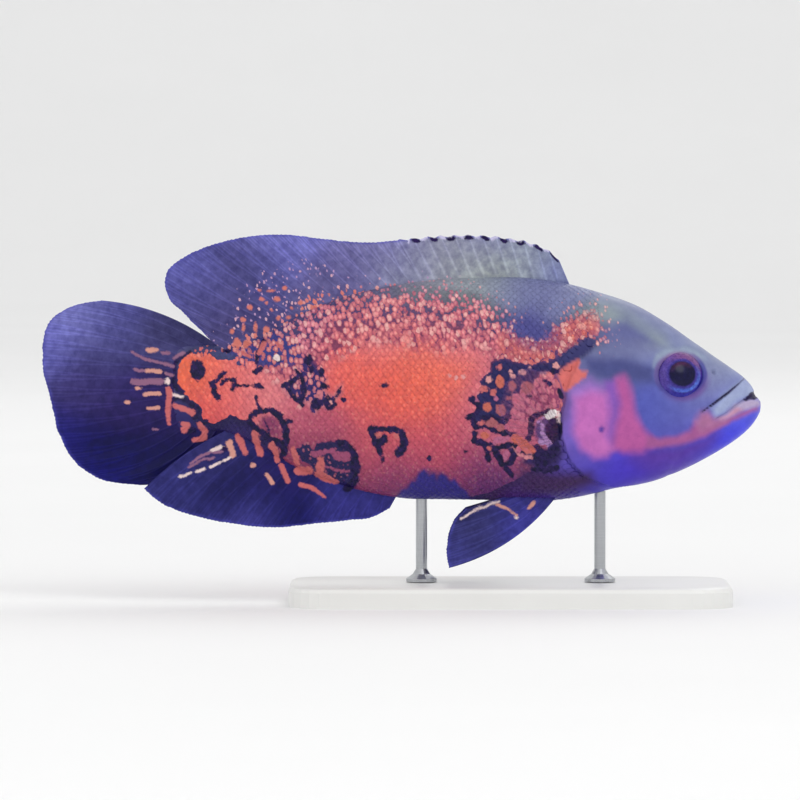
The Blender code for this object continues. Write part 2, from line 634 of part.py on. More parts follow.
def stand_base():
    """A flat plate with round corners and a soft upper edge, its underside on the floor."""
    half_x, half_y, corner = BASE_LENGTH / 2, BASE_WIDTH / 2, BASE_CORNER
    ring = []
    for quarter in range(4):
        sign_x = (1, -1, -1, 1)[quarter]
        sign_y = (1, 1, -1, -1)[quarter]
        for step in range(7):
            a = math.radians(90 * quarter + 15 * step)
            ring.append((sign_x * (half_x - corner) + corner * math.cos(a),
                         sign_y * (half_y - corner) + corner * math.sin(a)))
    ring = np.array(ring)
    levels = [(0.0, 0.0), (0.0, BASE_HEIGHT - 2.0), (0.6, BASE_HEIGHT - 0.6), (2.0, BASE_HEIGHT)]
    shrink = [1 - inset * np.array([1 / half_x, 1 / half_y]) for inset, level in levels]
    points = [np.column_stack([ring * k, np.full(len(ring), z)]) for k, (_, z) in zip(shrink, levels)]
    n = len(ring)
    faces = grid_faces(len(levels), n, wrap=True)
    faces.append(tuple(range(n)))
    faces.append(tuple(range((len(levels) - 1) * n, len(levels) * n)))
    return mesh_object("stand_base", np.concatenate(points) * MM, faces)


def stand_rod(name, s):
    """A slim round rod with a turned foot, from the base up to the underside of the fish."""
    foot = BASE_HEIGHT + GAP
    top = SNOUT_Z + float(belly(s)) + 6.0
    outline = [(0, foot), (ROD_FOOT_RADIUS, foot), (ROD_FOOT_RADIUS, foot + 1.2),
               (ROD_RADIUS + 1.2, foot + ROD_FOOT_HEIGHT), (ROD_RADIUS, foot + ROD_FOOT_HEIGHT + 2.0),
               (ROD_RADIUS, top), (0, top)]
    frame = Matrix.Translation(Vector(((SNOUT_X - s) * MM, 0, 0)))
    return seat(turned(name, outline, frame, segments=20))


LOOKS = {
    "head": ((0.33, 0.36, 0.55), 0.38, 0.0),
    "trunk": ((0.80, 0.28, 0.18), 0.42, 0.0),
    "tail_stem": ((0.55, 0.18, 0.17), 0.42, 0.0),
    "upper_lip": ((0.36, 0.40, 0.58), 0.35, 0.0),
    "lower_jaw": ((0.32, 0.20, 0.50), 0.35, 0.0),
    "gill_cover": ((0.62, 0.24, 0.52), 0.36, 0.0),
    "eye": ((0.03, 0.02, 0.07), 0.08, 0.0),
    "dorsal_fin": ((0.12, 0.12, 0.28), 0.45, 0.0),
    "anal_fin": ((0.03, 0.03, 0.14), 0.45, 0.0),
    "caudal_fin": ((0.05, 0.04, 0.18), 0.45, 0.0),
    "pectoral_fin": ((0.35, 0.14, 0.28), 0.40, 0.0),
    "pelvic_fin": ((0.05, 0.05, 0.20), 0.42, 0.0),
    "stand_base": ((0.80, 0.80, 0.78), 0.40, 0.0),
    "stand_rod": ((0.62, 0.62, 0.62), 0.28, 1.0),
}


def finish():
    """Gives each node its own material and smooth shading."""
    for thing in bpy.data.objects:
        kind = next(key for key in LOOKS if thing.name.startswith(key))
        colour, roughness, metallic = LOOKS[kind]
        material = bpy.data.materials.new(thing.name)
        material.use_nodes = True
        shader = material.node_tree.nodes["Principled BSDF"]
        shader.inputs["Base Color"].default_value = (*colour, 1.0)
        shader.inputs["Roughness"].default_value = roughness
        shader.inputs["Metallic"].default_value = metallic
        thing.data.materials.clear()
        thing.data.materials.append(material)
        thing.data.shade_smooth()
        thing.data.set_sharp_from_angle(angle=math.radians(35))


def main():
    for thing in list(bpy.data.objects):
        bpy.data.objects.remove(thing)
    body_nodes()
    fin_nodes()
    bend_tail()
    stand_base()
    for name, s in ROD_PLACES.items():
        stand_rod(name, s)
    finish()


main()
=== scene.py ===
"""An oscar fish as a still, life-size museum model on a plain display stand.

Lengths of the fish are in millimetres, measured as on the solids: s is the distance behind the tip of
the snout, h the height above the snout's level and y the distance from the middle plane. The fish
looks along +X and shows its right flank to -Y. place() turns such points into metres of the frame.
"""

import math

import bpy
import numpy as np
from mathutils import Matrix, Vector


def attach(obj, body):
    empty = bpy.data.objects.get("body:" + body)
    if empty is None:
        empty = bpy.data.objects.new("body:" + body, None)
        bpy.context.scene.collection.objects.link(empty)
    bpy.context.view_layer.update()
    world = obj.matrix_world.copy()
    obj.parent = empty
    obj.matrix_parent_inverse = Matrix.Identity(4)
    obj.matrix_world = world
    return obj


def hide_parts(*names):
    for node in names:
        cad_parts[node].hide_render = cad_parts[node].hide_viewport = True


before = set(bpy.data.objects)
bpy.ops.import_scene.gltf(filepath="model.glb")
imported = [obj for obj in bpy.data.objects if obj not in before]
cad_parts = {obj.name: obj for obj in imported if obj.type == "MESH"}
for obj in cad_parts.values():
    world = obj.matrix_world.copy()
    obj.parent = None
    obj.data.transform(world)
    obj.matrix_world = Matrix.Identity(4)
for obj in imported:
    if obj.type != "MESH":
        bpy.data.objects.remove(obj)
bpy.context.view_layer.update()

# Measures of the body, the same as the solids'
MM = 0.001
LENGTH = 280.6
SNOUT_X = 97.5
SNOUT_Z = 77.2
BEND_START = 164.0
BEND_REACH = 14.0
LOBE_SPLAY = 4.5
BACK = [(0.1, 1.4), (1.2, 3.2), (3.1, 6.6), (6.2, 10.6), (12.1, 15.0), (21.4, 21.3), (37.1, 32.4),
        (49.5, 39.4), (62.0, 43.7), (78.0, 47.8), (97.5, 49.9), (119.0, 49.5), (140.4, 47.2),
        (159.9, 42.9), (179.4, 35.5), (194.2, 26.6), (204.8, 22.8), (216.5, 23.4), (227.0, 23.2),
        (230.0, 21.0)]
BELLY = [(0.1, -2.7), (1.2, -4.9), (3.9, -8.6), (9.0, -13.1), (18.3, -19.1), (30.8, -25.5),
         (42.9, -30.0), (58.9, -33.1), (71.4, -35.9), (83.9, -37.3), (101.4, -37.1), (121.3, -36.8),
         (134.6, -36.7), (146.2, -35.3), (159.9, -32.2), (175.5, -26.9), (191.1, -19.1),
         (203.6, -12.5), (214.5, -10.2), (227.0, -10.2), (230.0, -8.0)]
HALF_WIDTH = [(0.1, 3.0), (1.2, 5.2), (3.1, 7.4), (6.2, 9.6), (12.1, 12.2), (21.4, 14.8), (37.1, 18.0),
              (49.5, 20.0), (62.0, 21.2), (78.0, 21.5), (97.5, 20.8), (119.0, 19.2), (140.4, 16.6),
              (159.9, 13.6), (179.4, 10.0), (194.2, 7.6), (204.8, 6.1), (216.5, 4.4), (226.0, 2.0),
              (230.0, 0.5)]
SQUARE_ABOVE = [(0.0, 2.3), (40.0, 2.2), (80.0, 1.95), (160.0, 1.9), (230.0, 2.1)]
SQUARE_BELOW = [(0.0, 2.4), (50.0, 2.3), (110.0, 2.2), (170.0, 1.95), (230.0, 2.1)]
BODY_END = 230.0

# Lines of the head on the side view, as (s, h)
MOUTH_LINE = [(-1.0, 4.5), (2.6, 4.3), (5.2, 3.1), (8.8, 1.1), (11.7, -1.4), (15.6, -3.9), (18.6, -5.4)]
UPPER_LIP_LINE = [(2.8, 7.4), (5.0, 6.9), (8.0, 5.0), (13.4, 1.0), (19.0, -2.6)]
LOWER_LIP_LINE = [(0.0, 0.2), (4.0, 0.6), (8.6, -1.2), (12.6, -4.2), (17.8, -7.4)]
LIP_GROOVE = [(2.6, 13.6), (6.8, 10.1), (12.5, 5.5), (18.3, 1.2), (23.0, -2.0)]
JAW_CREASE = [(18.6, -5.6), (23.4, -8.4), (29.6, -16.8), (35.9, -27.0)]
CHEEK_CREASE = [(45.6, 15.0), (47.4, 4.0), (46.0, -8.0), (41.0, -17.0), (33.0, -22.5)]
GILL_EDGE = [(62.5, 25.2), (66.0, 22.6), (71.4, 17.6), (75.4, 8.5), (77.4, -2.0), (77.6, -11.7),
             (74.4, -21.0), (67.9, -27.7), (58.0, -31.2), (46.0, -31.0)]
EYE_PLACE = (31.5, 12.3)
EYE_WIDER = 1.10
EYE_LOWER = 0.95
RIM_RADIUS = 8.5
SOCKET_RADIUS = 7.9
EYE_RADIUS = 10.0
EYE_DOME = 7.0
EYE_SUNK = 3.9
NOSTRIL_PLACE = (18.4, 13.2)

# Fins as (s, h) of the roots and of the tips, from the first ray to the last
SPINY_ROOT = [(73.4, 44.8), (83.9, 46.8), (97.5, 47.9), (113.1, 47.7), (130.7, 46.4)]
SPINY_TIP = [(78.4, 56.6), (82.4, 60.4), (89.8, 63.6), (99.4, 65.5), (111.9, 66.4), (127.5, 66.0),
             (140.8, 64.7)]
SOFT_ROOT = [(131.1, 46.4), (152.1, 42.6), (171.6, 36.2), (187.2, 28.4), (203.5, 20.0)]
SOFT_TIP = [(141.2, 64.4), (155.6, 63.6), (168.1, 64.7), (183.7, 66.5), (199.3, 65.9), (211.8, 63.2),
            (224.2, 58.1), (230.5, 53.4), (232.4, 47.6), (230.5, 41.3), (224.2, 35.5), (216.8, 28.1)]
ANAL_ROOT = [(140.8, -33.8), (156.0, -31.0), (171.6, -26.2), (187.2, -18.6), (206.0, -9.0)]
ANAL_TIP = [(144.6, -40.6), (151.5, -44.2), (161.8, -45.4), (174.3, -46.6), (186.8, -47.8),
            (199.3, -47.4), (211.8, -45.5), (224.2, -42.4), (234.0, -38.2), (240.4, -32.8)]
CAUDAL_ROOT = [(208.5, 20.6), (221.0, 15.6), (222.4, 6.4), (221.0, -2.7), (208.4, -9.6)]
CAUDAL_TIP = [(257.4, 40.7), (264.8, 39.6), (272.2, 36.8), (278.1, 31.8), (280.5, 23.4),
              (280.5, 14.8), (277.3, 0.8), (274.2, -11.7), (268.3, -22.2), (258.6, -29.1),
              (249.6, -31.2), (242.6, -31.6)]
PECTORAL_ROOT = [(80.4, -3.5), (80.9, -14.0)]
PECTORAL_TIP = [(85.8, 14.6), (92.8, 15.6), (99.2, 11.2), (102.2, 3.2), (100.6, -5.8), (95.2, -12.8),
                (88.6, -16.4)]
PECTORAL_REACH = [21.0, 28.0, 31.9, 32.8, 30.9, 26.0, 19.0]
PELVIC_ROOT = [(78.4, -34.0), (85.0, -34.2), (94.0, -34.2)]
PELVIC_TIP = [(121.6, -63.2), (122.4, -57.3), (121.6, -51.1), (119.2, -44.8), (115.2, -40.4)]
PELVIC_SPREAD = (5.2, 11.0)
PELVIC_BOW = 4.6
MEMBRANE_HALF = 0.2
SPINES = 13

# Paint: a name, its place (s, h) and the colour that the skin has there under the fish's light. The tones
# hold painted shade, darker towards the belly, and painted blue light: a saturated blue on the chin, throat
# and breast edge, and the fins' rim tones.
BACK_TONES = [
    ("nape", 62.4, 41.0, "#96a0ac"), ("nape ridge", 68.2, 44.1, "#7d82b4"),
    ("forehead", 42.9, 30.0, "#8c98ac"), ("brow", 27.3, 23.4, "#808cac"),
    ("forehead ridge", 37.1, 31.2, "#7378b4"), ("temple", 54.6, 31.2, "#6c70a2"),
    ("slate", 52.6, 23.4, "#7074a0"), ("slate behind", 66.3, 21.4, "#686c96"),
    ("gill cover top", 60.5, 15.2, "#545f96"), ("snout", 12.9, 12.9, "#9aa2b4"),
    ("snout tip", 7.0, 9.0, "#7887b4"), ("under the eye", 31.2, 0.0, "#696caa"),
    ("before the eye", 21.4, 3.9, "#787aac"), ("cheek", 43.7, 5.1, "#4c54b6"),
    ("lower cheek", 35.1, -5.1, "#5c68c0"), ("middle cheek", 41.0, -2.7, "#4c56ba"),
    # The strong blue of the chin, chin tip, throat, isthmus and breast edge is partly painted blue light
    # falling on the lower edges.
    ("chin", 13.7, -13.7, "#1c26f8"), ("chin tip", 3.1, -3.9, "#4440f4"),
    ("lower jaw", 27.3, -17.6, "#5634b2"), ("throat", 42.9, -25.4, "#5230b4"),
    ("blue throat", 58.5, -25.4, "#4a38dc"), ("isthmus", 54.6, -32.4, "#3c2abe"),
    ("gill cover rim", 72.5, -12.1, "#7862c3"), ("gill cover foot", 71.0, -22.2, "#5852be"),
    ("gill cover back", 74.1, -2.0, "#966ec8"), ("breast", 72.2, -32.0, "#3a2470"),
    ("breast edge", 78.0, -37.1, "#3c32b4"), ("breast rear", 89.7, -32.4, "#4e2868"),
    ("shoulder top", 78.0, 39.0, "#7a7ea6"), ("shoulder", 87.8, 32.4, "#5e609a"),
    ("front back", 93.6, 41.0, "#767ca8"), ("middle back", 109.2, 45.6, "#98a2a6"),
    ("back", 128.7, 46.8, "#9698a6"), ("rear back", 156.0, 45.6, "#827ea8"),
    ("soft fin foot", 171.6, 41.0, "#686298"), ("rear slope", 191.1, 31.2, "#5a5290"),
    ("stem top", 208.7, 20.7, "#525892"), ("stem foot", 204.8, -13.7, "#302264"),
    ("tail root", 223.1, -13.7, "#241e62"), ("tail root top", 225.4, 20.7, "#504e84"),
    ("rear belly", 179.4, -29.2, "#34266c"), ("blue belly", 128.7, -33.9, "#3c328c"),
]
FLANK_TONES = [
    ("ring", 220.3, 12.9, "#fa7242"), ("stem", 204.8, 12.9, "#fc7c72"),
    ("stem low", 212.6, 0.0, "#ee5c5c"), ("stem front", 194.2, 5.9, "#f08c90"),
    ("rear top", 179.4, 28.5, "#ec90a6"), ("rear", 175.5, -5.9, "#ca5e78"),
    ("rear low", 179.4, -25.4, "#80345c"), ("upper", 152.1, 33.9, "#f29094"),
    ("upper front", 120.9, 33.9, "#ea8894"), ("middle", 159.9, 13.7, "#fc6c5a"),
    ("middle front", 128.7, 11.7, "#ff785e"), ("core", 140.4, 2.0, "#fa6852"),
    ("low", 148.2, -13.7, "#d65e6c"), ("low front", 124.8, -15.6, "#d4586a"),
    ("belly", 140.4, -30.0, "#74306c"), ("front belly", 110.0, -28.5, "#682a6c"),
    ("belly end", 101.4, -33.9, "#542c6e"), ("lattice", 104.5, -2.0, "#dc7484"),
    ("front rose", 94.0, -9.5, "#d86c88"),
    ("mauve", 87.8, 3.9, "#d67c92"), ("shoulder", 73.3, 11.7, "#ea6c4a"),
    ("blotch", 169.7, -22.2, "#80345c"), ("speckle", 70.2, 29.2, "#ec7c74"),
]
DORSAL_TONES = [
    ("rear", 218.4, 41.0, "#5c5a98"), ("rear edge", 228.2, 50.7, "#6868b2"),
    ("low", 204.8, 31.2, "#565084"), ("middle", 195.0, 52.6, "#5a5894"),
    ("top", 183.3, 63.6, "#8484d2"), ("soft front", 159.9, 54.6, "#7a76ae"),
    ("join top", 146.2, 61.2, "#8884be"), ("join", 140.4, 52.6, "#a0a4ba"),
    ("spiny foot", 113.1, 50.7, "#bcc4be"), ("spiny middle", 120.9, 57.3, "#a6a8be"),
    ("spiny front", 93.6, 55.8, "#a4aec0"), ("spiny top", 105.3, 62.8, "#8e90be"),
    ("front", 78.0, 50.7, "#9098c4"), ("olive", 101.4, 50.3, "#c2ccb8"),
    ("rear foot", 167.7, 44.9, "#6c6698"),
]
# The rim tones of this fin and of the anal fin are painted blue rim light on the fins' edges.
CAUDAL_TONES = [
    ("top rim", 267.2, 36.3, "#8c8ed6"), ("rear rim", 278.9, 23.4, "#6e6ebe"),
    ("top", 253.5, 35.1, "#5c5ca0"), ("upper", 257.4, 23.4, "#54528e"),
    ("middle", 265.2, 7.8, "#423a76"), ("centre", 249.6, 2.0, "#382e6e"),
    ("lower", 257.4, -17.6, "#12114c"), ("low rim", 272.2, -15.6, "#282680"),
    ("low edge", 253.5, -30.0, "#1e1c78"), ("low root", 234.0, -19.5, "#1e1c56"),
    ("root", 232.1, 2.0, "#342862"), ("root top", 230.1, 27.3, "#4a487a"),
    ("shaded foot", 237.9, -33.1, "#181650"),
]
ANAL_TONES = [
    ("rear", 226.2, -32.4, "#38387c"), ("middle", 206.7, -33.1, "#171750"),
    ("low", 187.2, -44.1, "#16165c"), ("rim", 198.9, -47.2, "#4e4ca0"),
    ("front", 159.9, -40.2, "#3c3a8c"), ("root", 187.2, -23.4, "#2c2668"),
    ("rear root", 212.6, -19.9, "#3a3876"),
]
PELVIC_TONES = [
    ("root", 89.7, -36.3, "#3a3470"), ("front", 93.6, -46.8, "#5050c2"),
    ("middle", 105.3, -46.8, "#3e3e6c"), ("tip", 120.1, -60.5, "#484896"),
    ("rear", 115.0, -44.9, "#323268"),
]
PECTORAL_TONES = [
    ("root", 82.7, -7.8, "#783c5a"), ("middle", 89.7, 2.0, "#ac6080"), ("tip", 99.5, 7.8, "#965a8c"),
]

# The orange field of the flank. Patches: a name, the colour, how soft the edge is in mm, the outline
FLANK_FIELD = [(221.5, 21.1), (218.4, 21.1), (214.9, 19.9), (212.2, 17.9), (207.5, 17.2),
               (202.8, 18.7), (198.9, 21.4), (194.2, 24.2), (189.2, 27.3), (183.7, 30.8), (178.6, 34.7),
               (173.6, 41.0), (166.5, 42.1), (159.1, 42.9), (151.3, 43.3), (140.4, 44.1), (124.8, 43.3),
               (115.0, 41.7), (107.2, 39.0), (101.4, 35.9), (96.7, 30.8), (93.6, 25.4), (89.7, 23.0),
               (82.7, 21.4), (78.0, 20.7), (75.7, 18.3), (79.2, 12.1), (77.2, 6.6), (77.2, 1.2),
               (79.6, -5.9), (83.9, -16.8), (89.7, -25.4), (97.5, -30.0), (105.3, -33.9), (124.8, -38.6),
               (148.2, -39.0), (159.1, -37.1), (165.8, -34.7), (172.4, -32.4), (179.4, -28.5),
               (185.2, -22.2), (189.2, -15.2), (194.2, -10.5), (198.5, -5.9), (202.8, -5.5),
               (205.9, -3.5), (208.7, -5.9), (212.9, -7.4), (215.7, -6.2), (217.6, -3.9), (217.2, -1.2),
               (220.3, 1.2), (223.9, 3.5), (226.2, 5.5), (227.4, 8.2), (227.0, 12.1), (226.2, 16.0),
               (224.6, 19.1)]
SPECKLE_FIELD = [(81.6, 24.5), (81.0, 27.5), (77.0, 29.0), (73.6, 30.5), (70.2, 34.5), (66.3, 35.1),
                 (63.6, 31.6), (64.0, 27.7), (69.4, 26.1), (73.3, 23.0), (78.5, 22.0)]
# Fields of loose beads: name, colour between the beads, their own, their size, softness and outline
NETS = [
    ("front net", "#25215a", "#c07c88", -0.3, 0.5, [(104.9, 17.6), (100.6, 18.7), (96.7, 17.6),
     (92.0, 17.2), (87.8, 16.4), (83.5, 18.3), (79.6, 20.7), (76.0, 23.4), (72.5, 26.1), (68.6, 26.9),
     (66.3, 26.1), (66.3, 23.4), (69.0, 20.3), (72.2, 18.3), (76.8, 15.2), (79.6, 12.9), (83.5, 13.7),
     (85.8, 12.5), (87.4, 10.5), (88.9, 8.2), (92.8, 9.0), (94.0, 5.5), (96.3, 5.1), (97.1, 2.7),
     (96.3, 0.4), (97.5, -2.0), (99.5, -4.7), (103.4, -4.7), (107.2, -5.1), (111.5, -6.6), (113.9, -4.7),
     (111.2, -2.0), (110.0, -0.8), (110.4, 2.0), (110.4, 4.7), (108.4, 6.6), (109.6, 9.4), (107.2, 12.5),
     (104.9, 14.4)]),
    ("shoulder", "#6a3c70", "#ec7e6c", 0.84, 1.6, [(63.2, 33.9), (63.6, 28.5), (68.6, 26.1),
     (73.3, 22.6), (79.2, 18.7), (83.9, 17.2), (89.7, 17.2), (96.7, 18.3), (101.4, 19.9), (103.0, 25.4),
     (100.6, 28.9), (95.2, 26.9), (89.7, 26.1), (84.2, 26.9), (81.1, 29.2), (78.8, 31.2), (74.1, 32.8),
     (70.2, 35.1), (66.3, 36.3)]),
    ("rose behind the gill cover", "#984468", "#ce7890", 0.60, 2.0, [(95.5, 2.7), (91.3, 6.6),
     (83.9, 12.9), (79.6, 12.1), (78.0, 6.6), (76.4, 3.5), (78.8, -1.2), (82.7, -2.0), (87.8, -2.7),
     (92.0, -7.4), (96.7, -5.9)]),
    ("rear net", "#342668", "#c8808c", 0.56, 1.2, [(186.8, 7.4), (184.1, 9.4), (182.1, 12.1),
     (181.3, 15.2), (178.6, 16.8), (177.1, 19.1), (174.7, 19.9), (173.9, 16.8), (170.8, 14.4),
     (168.9, 11.3), (168.9, 5.9), (166.1, 4.7), (163.4, 8.2), (162.2, 9.8), (162.2, 5.9), (165.8, 1.2),
     (168.1, -1.6), (171.2, -0.4), (172.8, -3.1), (174.7, -2.3), (175.9, 0.4), (179.4, 0.8),
     (181.7, 3.1), (184.5, 3.9)]),
    ("stem net", "#3b3c84", "#d4807c", 0.56, 2.0, [(208.3, 20.7), (203.6, 25.4), (198.1, 28.5),
     (190.3, 29.2), (182.5, 26.9), (179.4, 23.0), (177.8, 18.3), (181.0, 16.0), (185.6, 14.4),
     (191.1, 15.2), (195.8, 16.0), (200.5, 18.3)]),
    ("strewn fin", "#4c4a90", "#c07c88", 0.24, 4.0, [(208.3, 30.8), (209.0, 41.0), (204.4, 48.8),
     (195.8, 55.0), (183.3, 58.1), (169.3, 55.8), (163.8, 50.3), (167.7, 44.1), (179.4, 39.4),
     (185.6, 33.9), (194.2, 28.5), (201.2, 26.9)]),
    ("dark loops", "#231d52", "#8c4068", 0.28, 0.8, [(181.7, -17.2), (178.2, -14.4), (175.9, -14.0),
     (173.9, -17.2), (172.8, -14.0), (166.5, -13.3), (163.4, -12.5), (160.7, -13.7), (159.5, -16.4),
     (157.2, -17.9), (156.4, -25.4), (158.0, -29.6), (158.7, -34.3), (163.8, -36.7), (170.0, -35.5),
     (175.9, -31.2), (179.8, -29.6), (175.5, -28.1), (173.6, -25.4), (175.1, -22.6), (178.6, -21.4),
     (180.6, -18.7)]),
]
PATCHES = [
    ("olive nape", "#909ea2", 5.0, [(71.0, 36.3), (65.5, 39.8), (58.5, 39.8), (49.9, 34.7), (39.0, 26.9),
    (37.4, 23.4), (42.9, 24.6), (53.8, 30.0), (64.0, 33.9)]),
    ("dusky shoulder", "#4a4a8e", 5.0, [(99.8, 33.9), (89.7, 37.1), (79.6, 29.2), (78.0, 24.6),
    (89.7, 23.0), (96.7, 26.1)]),
    ("upper slate", "#5c6196", 4.0, [(64.4, 27.3), (60.5, 31.2), (52.6, 33.9), (44.9, 28.5), (42.9, 24.2),
    (50.7, 23.4), (60.5, 25.4)]),
    ("lower slate", "#484e88", 2.6, [(69.0, 18.7), (62.4, 18.3), (50.7, 18.0), (42.1, 14.4), (41.7, 9.4),
    (50.7, 9.8), (60.5, 10.9), (66.3, 12.9)]),
    ("violet below the stripe", "#5a36a6", 5.0, [(46.8, -16.0), (34.3, -16.0), (23.4, -12.9),
    (17.2, -10.5), (21.1, -16.0), (31.2, -22.2), (42.9, -23.8), (50.7, -20.7)]),
    ("violet cheek", "#8a58b8", 2.2, [(61.2, 9.8), (56.2, 10.5), (53.8, 2.0), (53.8, -16.0),
    (60.1, -18.3), (62.4, -5.9)]),
    ("lilac gill cover", "#a878cc", 3.0, [(73.3, 6.6), (67.1, 10.5), (62.4, 8.2), (61.6, 2.0),
    (66.3, 2.0), (71.0, 0.4)]),
    ("pink gill cover", "#ca70be", 2.6, [(72.5, 3.5), (66.3, 6.6), (60.8, 5.1), (59.7, -2.0),
    (60.1, -10.5), (57.7, -16.0), (60.1, -19.5), (65.5, -19.5), (70.2, -16.0), (73.3, -9.0)]),
    ("gill dot", "#56369c", 0.8, [(63.4, -8.0), (62.3, -7.4), (61.2, -8.4), (61.7, -9.7), (63.1, -9.6)]),
    ("pink stripe", "#bc5aa0", 2.4, [(56.9, 10.9), (53.4, 12.1), (51.1, 8.2), (49.9, 2.0), (48.8, -3.5),
    (46.0, -8.6), (42.9, -11.3), (42.1, -15.2), (46.8, -17.6), (53.8, -18.3), (57.7, -16.0),
    (56.9, -7.4), (55.4, 0.4), (56.6, 6.6)]),
    ("pink jaw", "#ab5c98", 1.5, [(45.2, -11.3), (39.0, -12.1), (32.8, -11.3), (28.1, -9.4),
    (25.4, -5.9), (21.1, -7.0), (16.4, -5.5), (10.1, -3.1), (4.7, -0.8), (1.2, 0.4), (1.2, -1.2),
    (7.8, -3.9), (14.8, -7.4), (21.8, -11.3), (29.6, -14.0), (39.0, -16.0), (45.2, -16.0)]),
    ("lip corner", "#b0709c", 2.2, [(25.7, -5.9), (23.8, -2.3), (20.7, -2.0), (17.2, -4.7), (12.5, -4.3),
    (17.2, -7.8), (23.4, -9.4)]),
    ("rosy lip", "#cc98b0", 1.3, [(17.6, -4.3), (14.0, -2.3), (10.5, 0.4), (5.0, 1.0), (7.4, -1.6),
    (12.5, -3.7), (16.2, -5.1)]),
    ("pale lip", "#bcaccc", 1.1, [(11.3, 0.0), (7.8, 2.3), (3.9, 2.7), (0.4, 2.0), (0.0, 0.4),
    (3.9, -0.6), (7.8, -1.0)]),
    ("upper lip", "#a2aed2", 1.6, [(19.4, -0.6), (7.0, 10.1), (3.1, 7.8), (0.0, 4.3), (5.5, 3.5),
    (9.0, 2.0), (14.2, -2.0), (18.0, -3.4)]),
    ("brow arc", "#94a2b8", 1.5, [(42.1, 15.2), (41.0, 19.9), (35.9, 22.6), (29.6, 23.0), (24.2, 21.4),
    (21.8, 18.3), (24.2, 19.1), (29.6, 21.1), (35.9, 20.3), (39.8, 17.6)]),
    ("orange flap", "#de726c", 0.6, [(78.4, 14.4), (74.5, 16.8), (71.0, 18.7), (70.6, 17.2),
    (71.0, 14.4), (69.8, 13.3), (67.5, 13.3), (68.2, 11.3), (70.2, 10.5), (71.8, 9.0), (74.1, 6.6),
    (76.0, 5.5), (77.2, 7.0), (78.0, 9.8), (79.2, 11.7)]),
    ("shoulder band", "#34336c", 1.5, [(64.0, 26.1), (66.7, 21.1), (71.0, 18.7), (75.7, 16.8),
    (78.8, 14.0), (81.1, 15.2), (78.0, 20.7), (73.3, 24.6), (68.6, 26.5)]),
    ("violet ring", "#5a4484", 0.9, [(84.6, -3.9), (81.5, -4.3), (79.6, -7.0), (79.6, -11.3),
     (81.9, -14.0), (85.4, -14.0), (88.1, -12.1), (88.9, -8.6), (87.8, -5.5)]),
    # Painted shadow under the pectoral fin's root.
    ("pectoral root shadow", "#2c1c58", 2.0, [(89.7, -16.0), (81.9, -15.2), (78.0, -13.7), (76.8, -18.3),
    (79.6, -23.0), (87.4, -24.6), (93.6, -22.2)]),
    ("plum breast", "#3f2258", 3.5, [(93.6, -23.8), (78.0, -25.4), (66.3, -26.1), (64.0, -30.8),
    (78.0, -34.7), (93.6, -33.9)]),
    ("plum ring", "#8a3c66", 1.6, [(194.2, -3.9), (189.5, -3.5), (186.8, -7.4), (187.2, -12.9),
    (191.9, -11.3), (195.8, -7.4)]),
    ("navy loops", "#241a58", 1.6, [(169.3, -30.0), (159.9, -26.9), (156.8, -27.7), (158.3, -33.1),
    (163.8, -36.3), (170.0, -33.9)]),
    ("violet belly", "#5c2e6c", 2.0, [(144.3, -38.1), (140.0, -33.2), (134.7, -27.6), (130.0, -24.0),
    (123.7, -25.8), (115.1, -32.8), (112.0, -38.1)]),
    ("blue belly flame", "#322a84", 0.7, [(145.9, -39.0), (142.0, -35.9), (139.6, -32.8), (137.3, -32.0),
    (136.1, -28.9), (134.2, -29.2), (133.0, -25.7), (131.0, -24.2), (129.1, -26.9), (127.1, -25.4),
    (126.0, -28.5), (124.4, -25.7), (122.1, -26.9), (120.5, -29.6), (119.0, -28.1), (117.0, -31.6),
    (114.3, -32.8), (111.5, -38.6)]),
]
# Below this line the orange is whole; above it, it breaks into beads
BEAD_LINE = [(60.0, 18.0), (86.0, 14.5), (101.0, 15.5), (121.0, 19.0), (140.4, 22.0), (156.0, 21.0),
             (165.0, 15.0), (172.0, 6.0), (182.0, 5.0), (190.0, 8.0), (200.0, 15.0), (232.0, 21.0)]
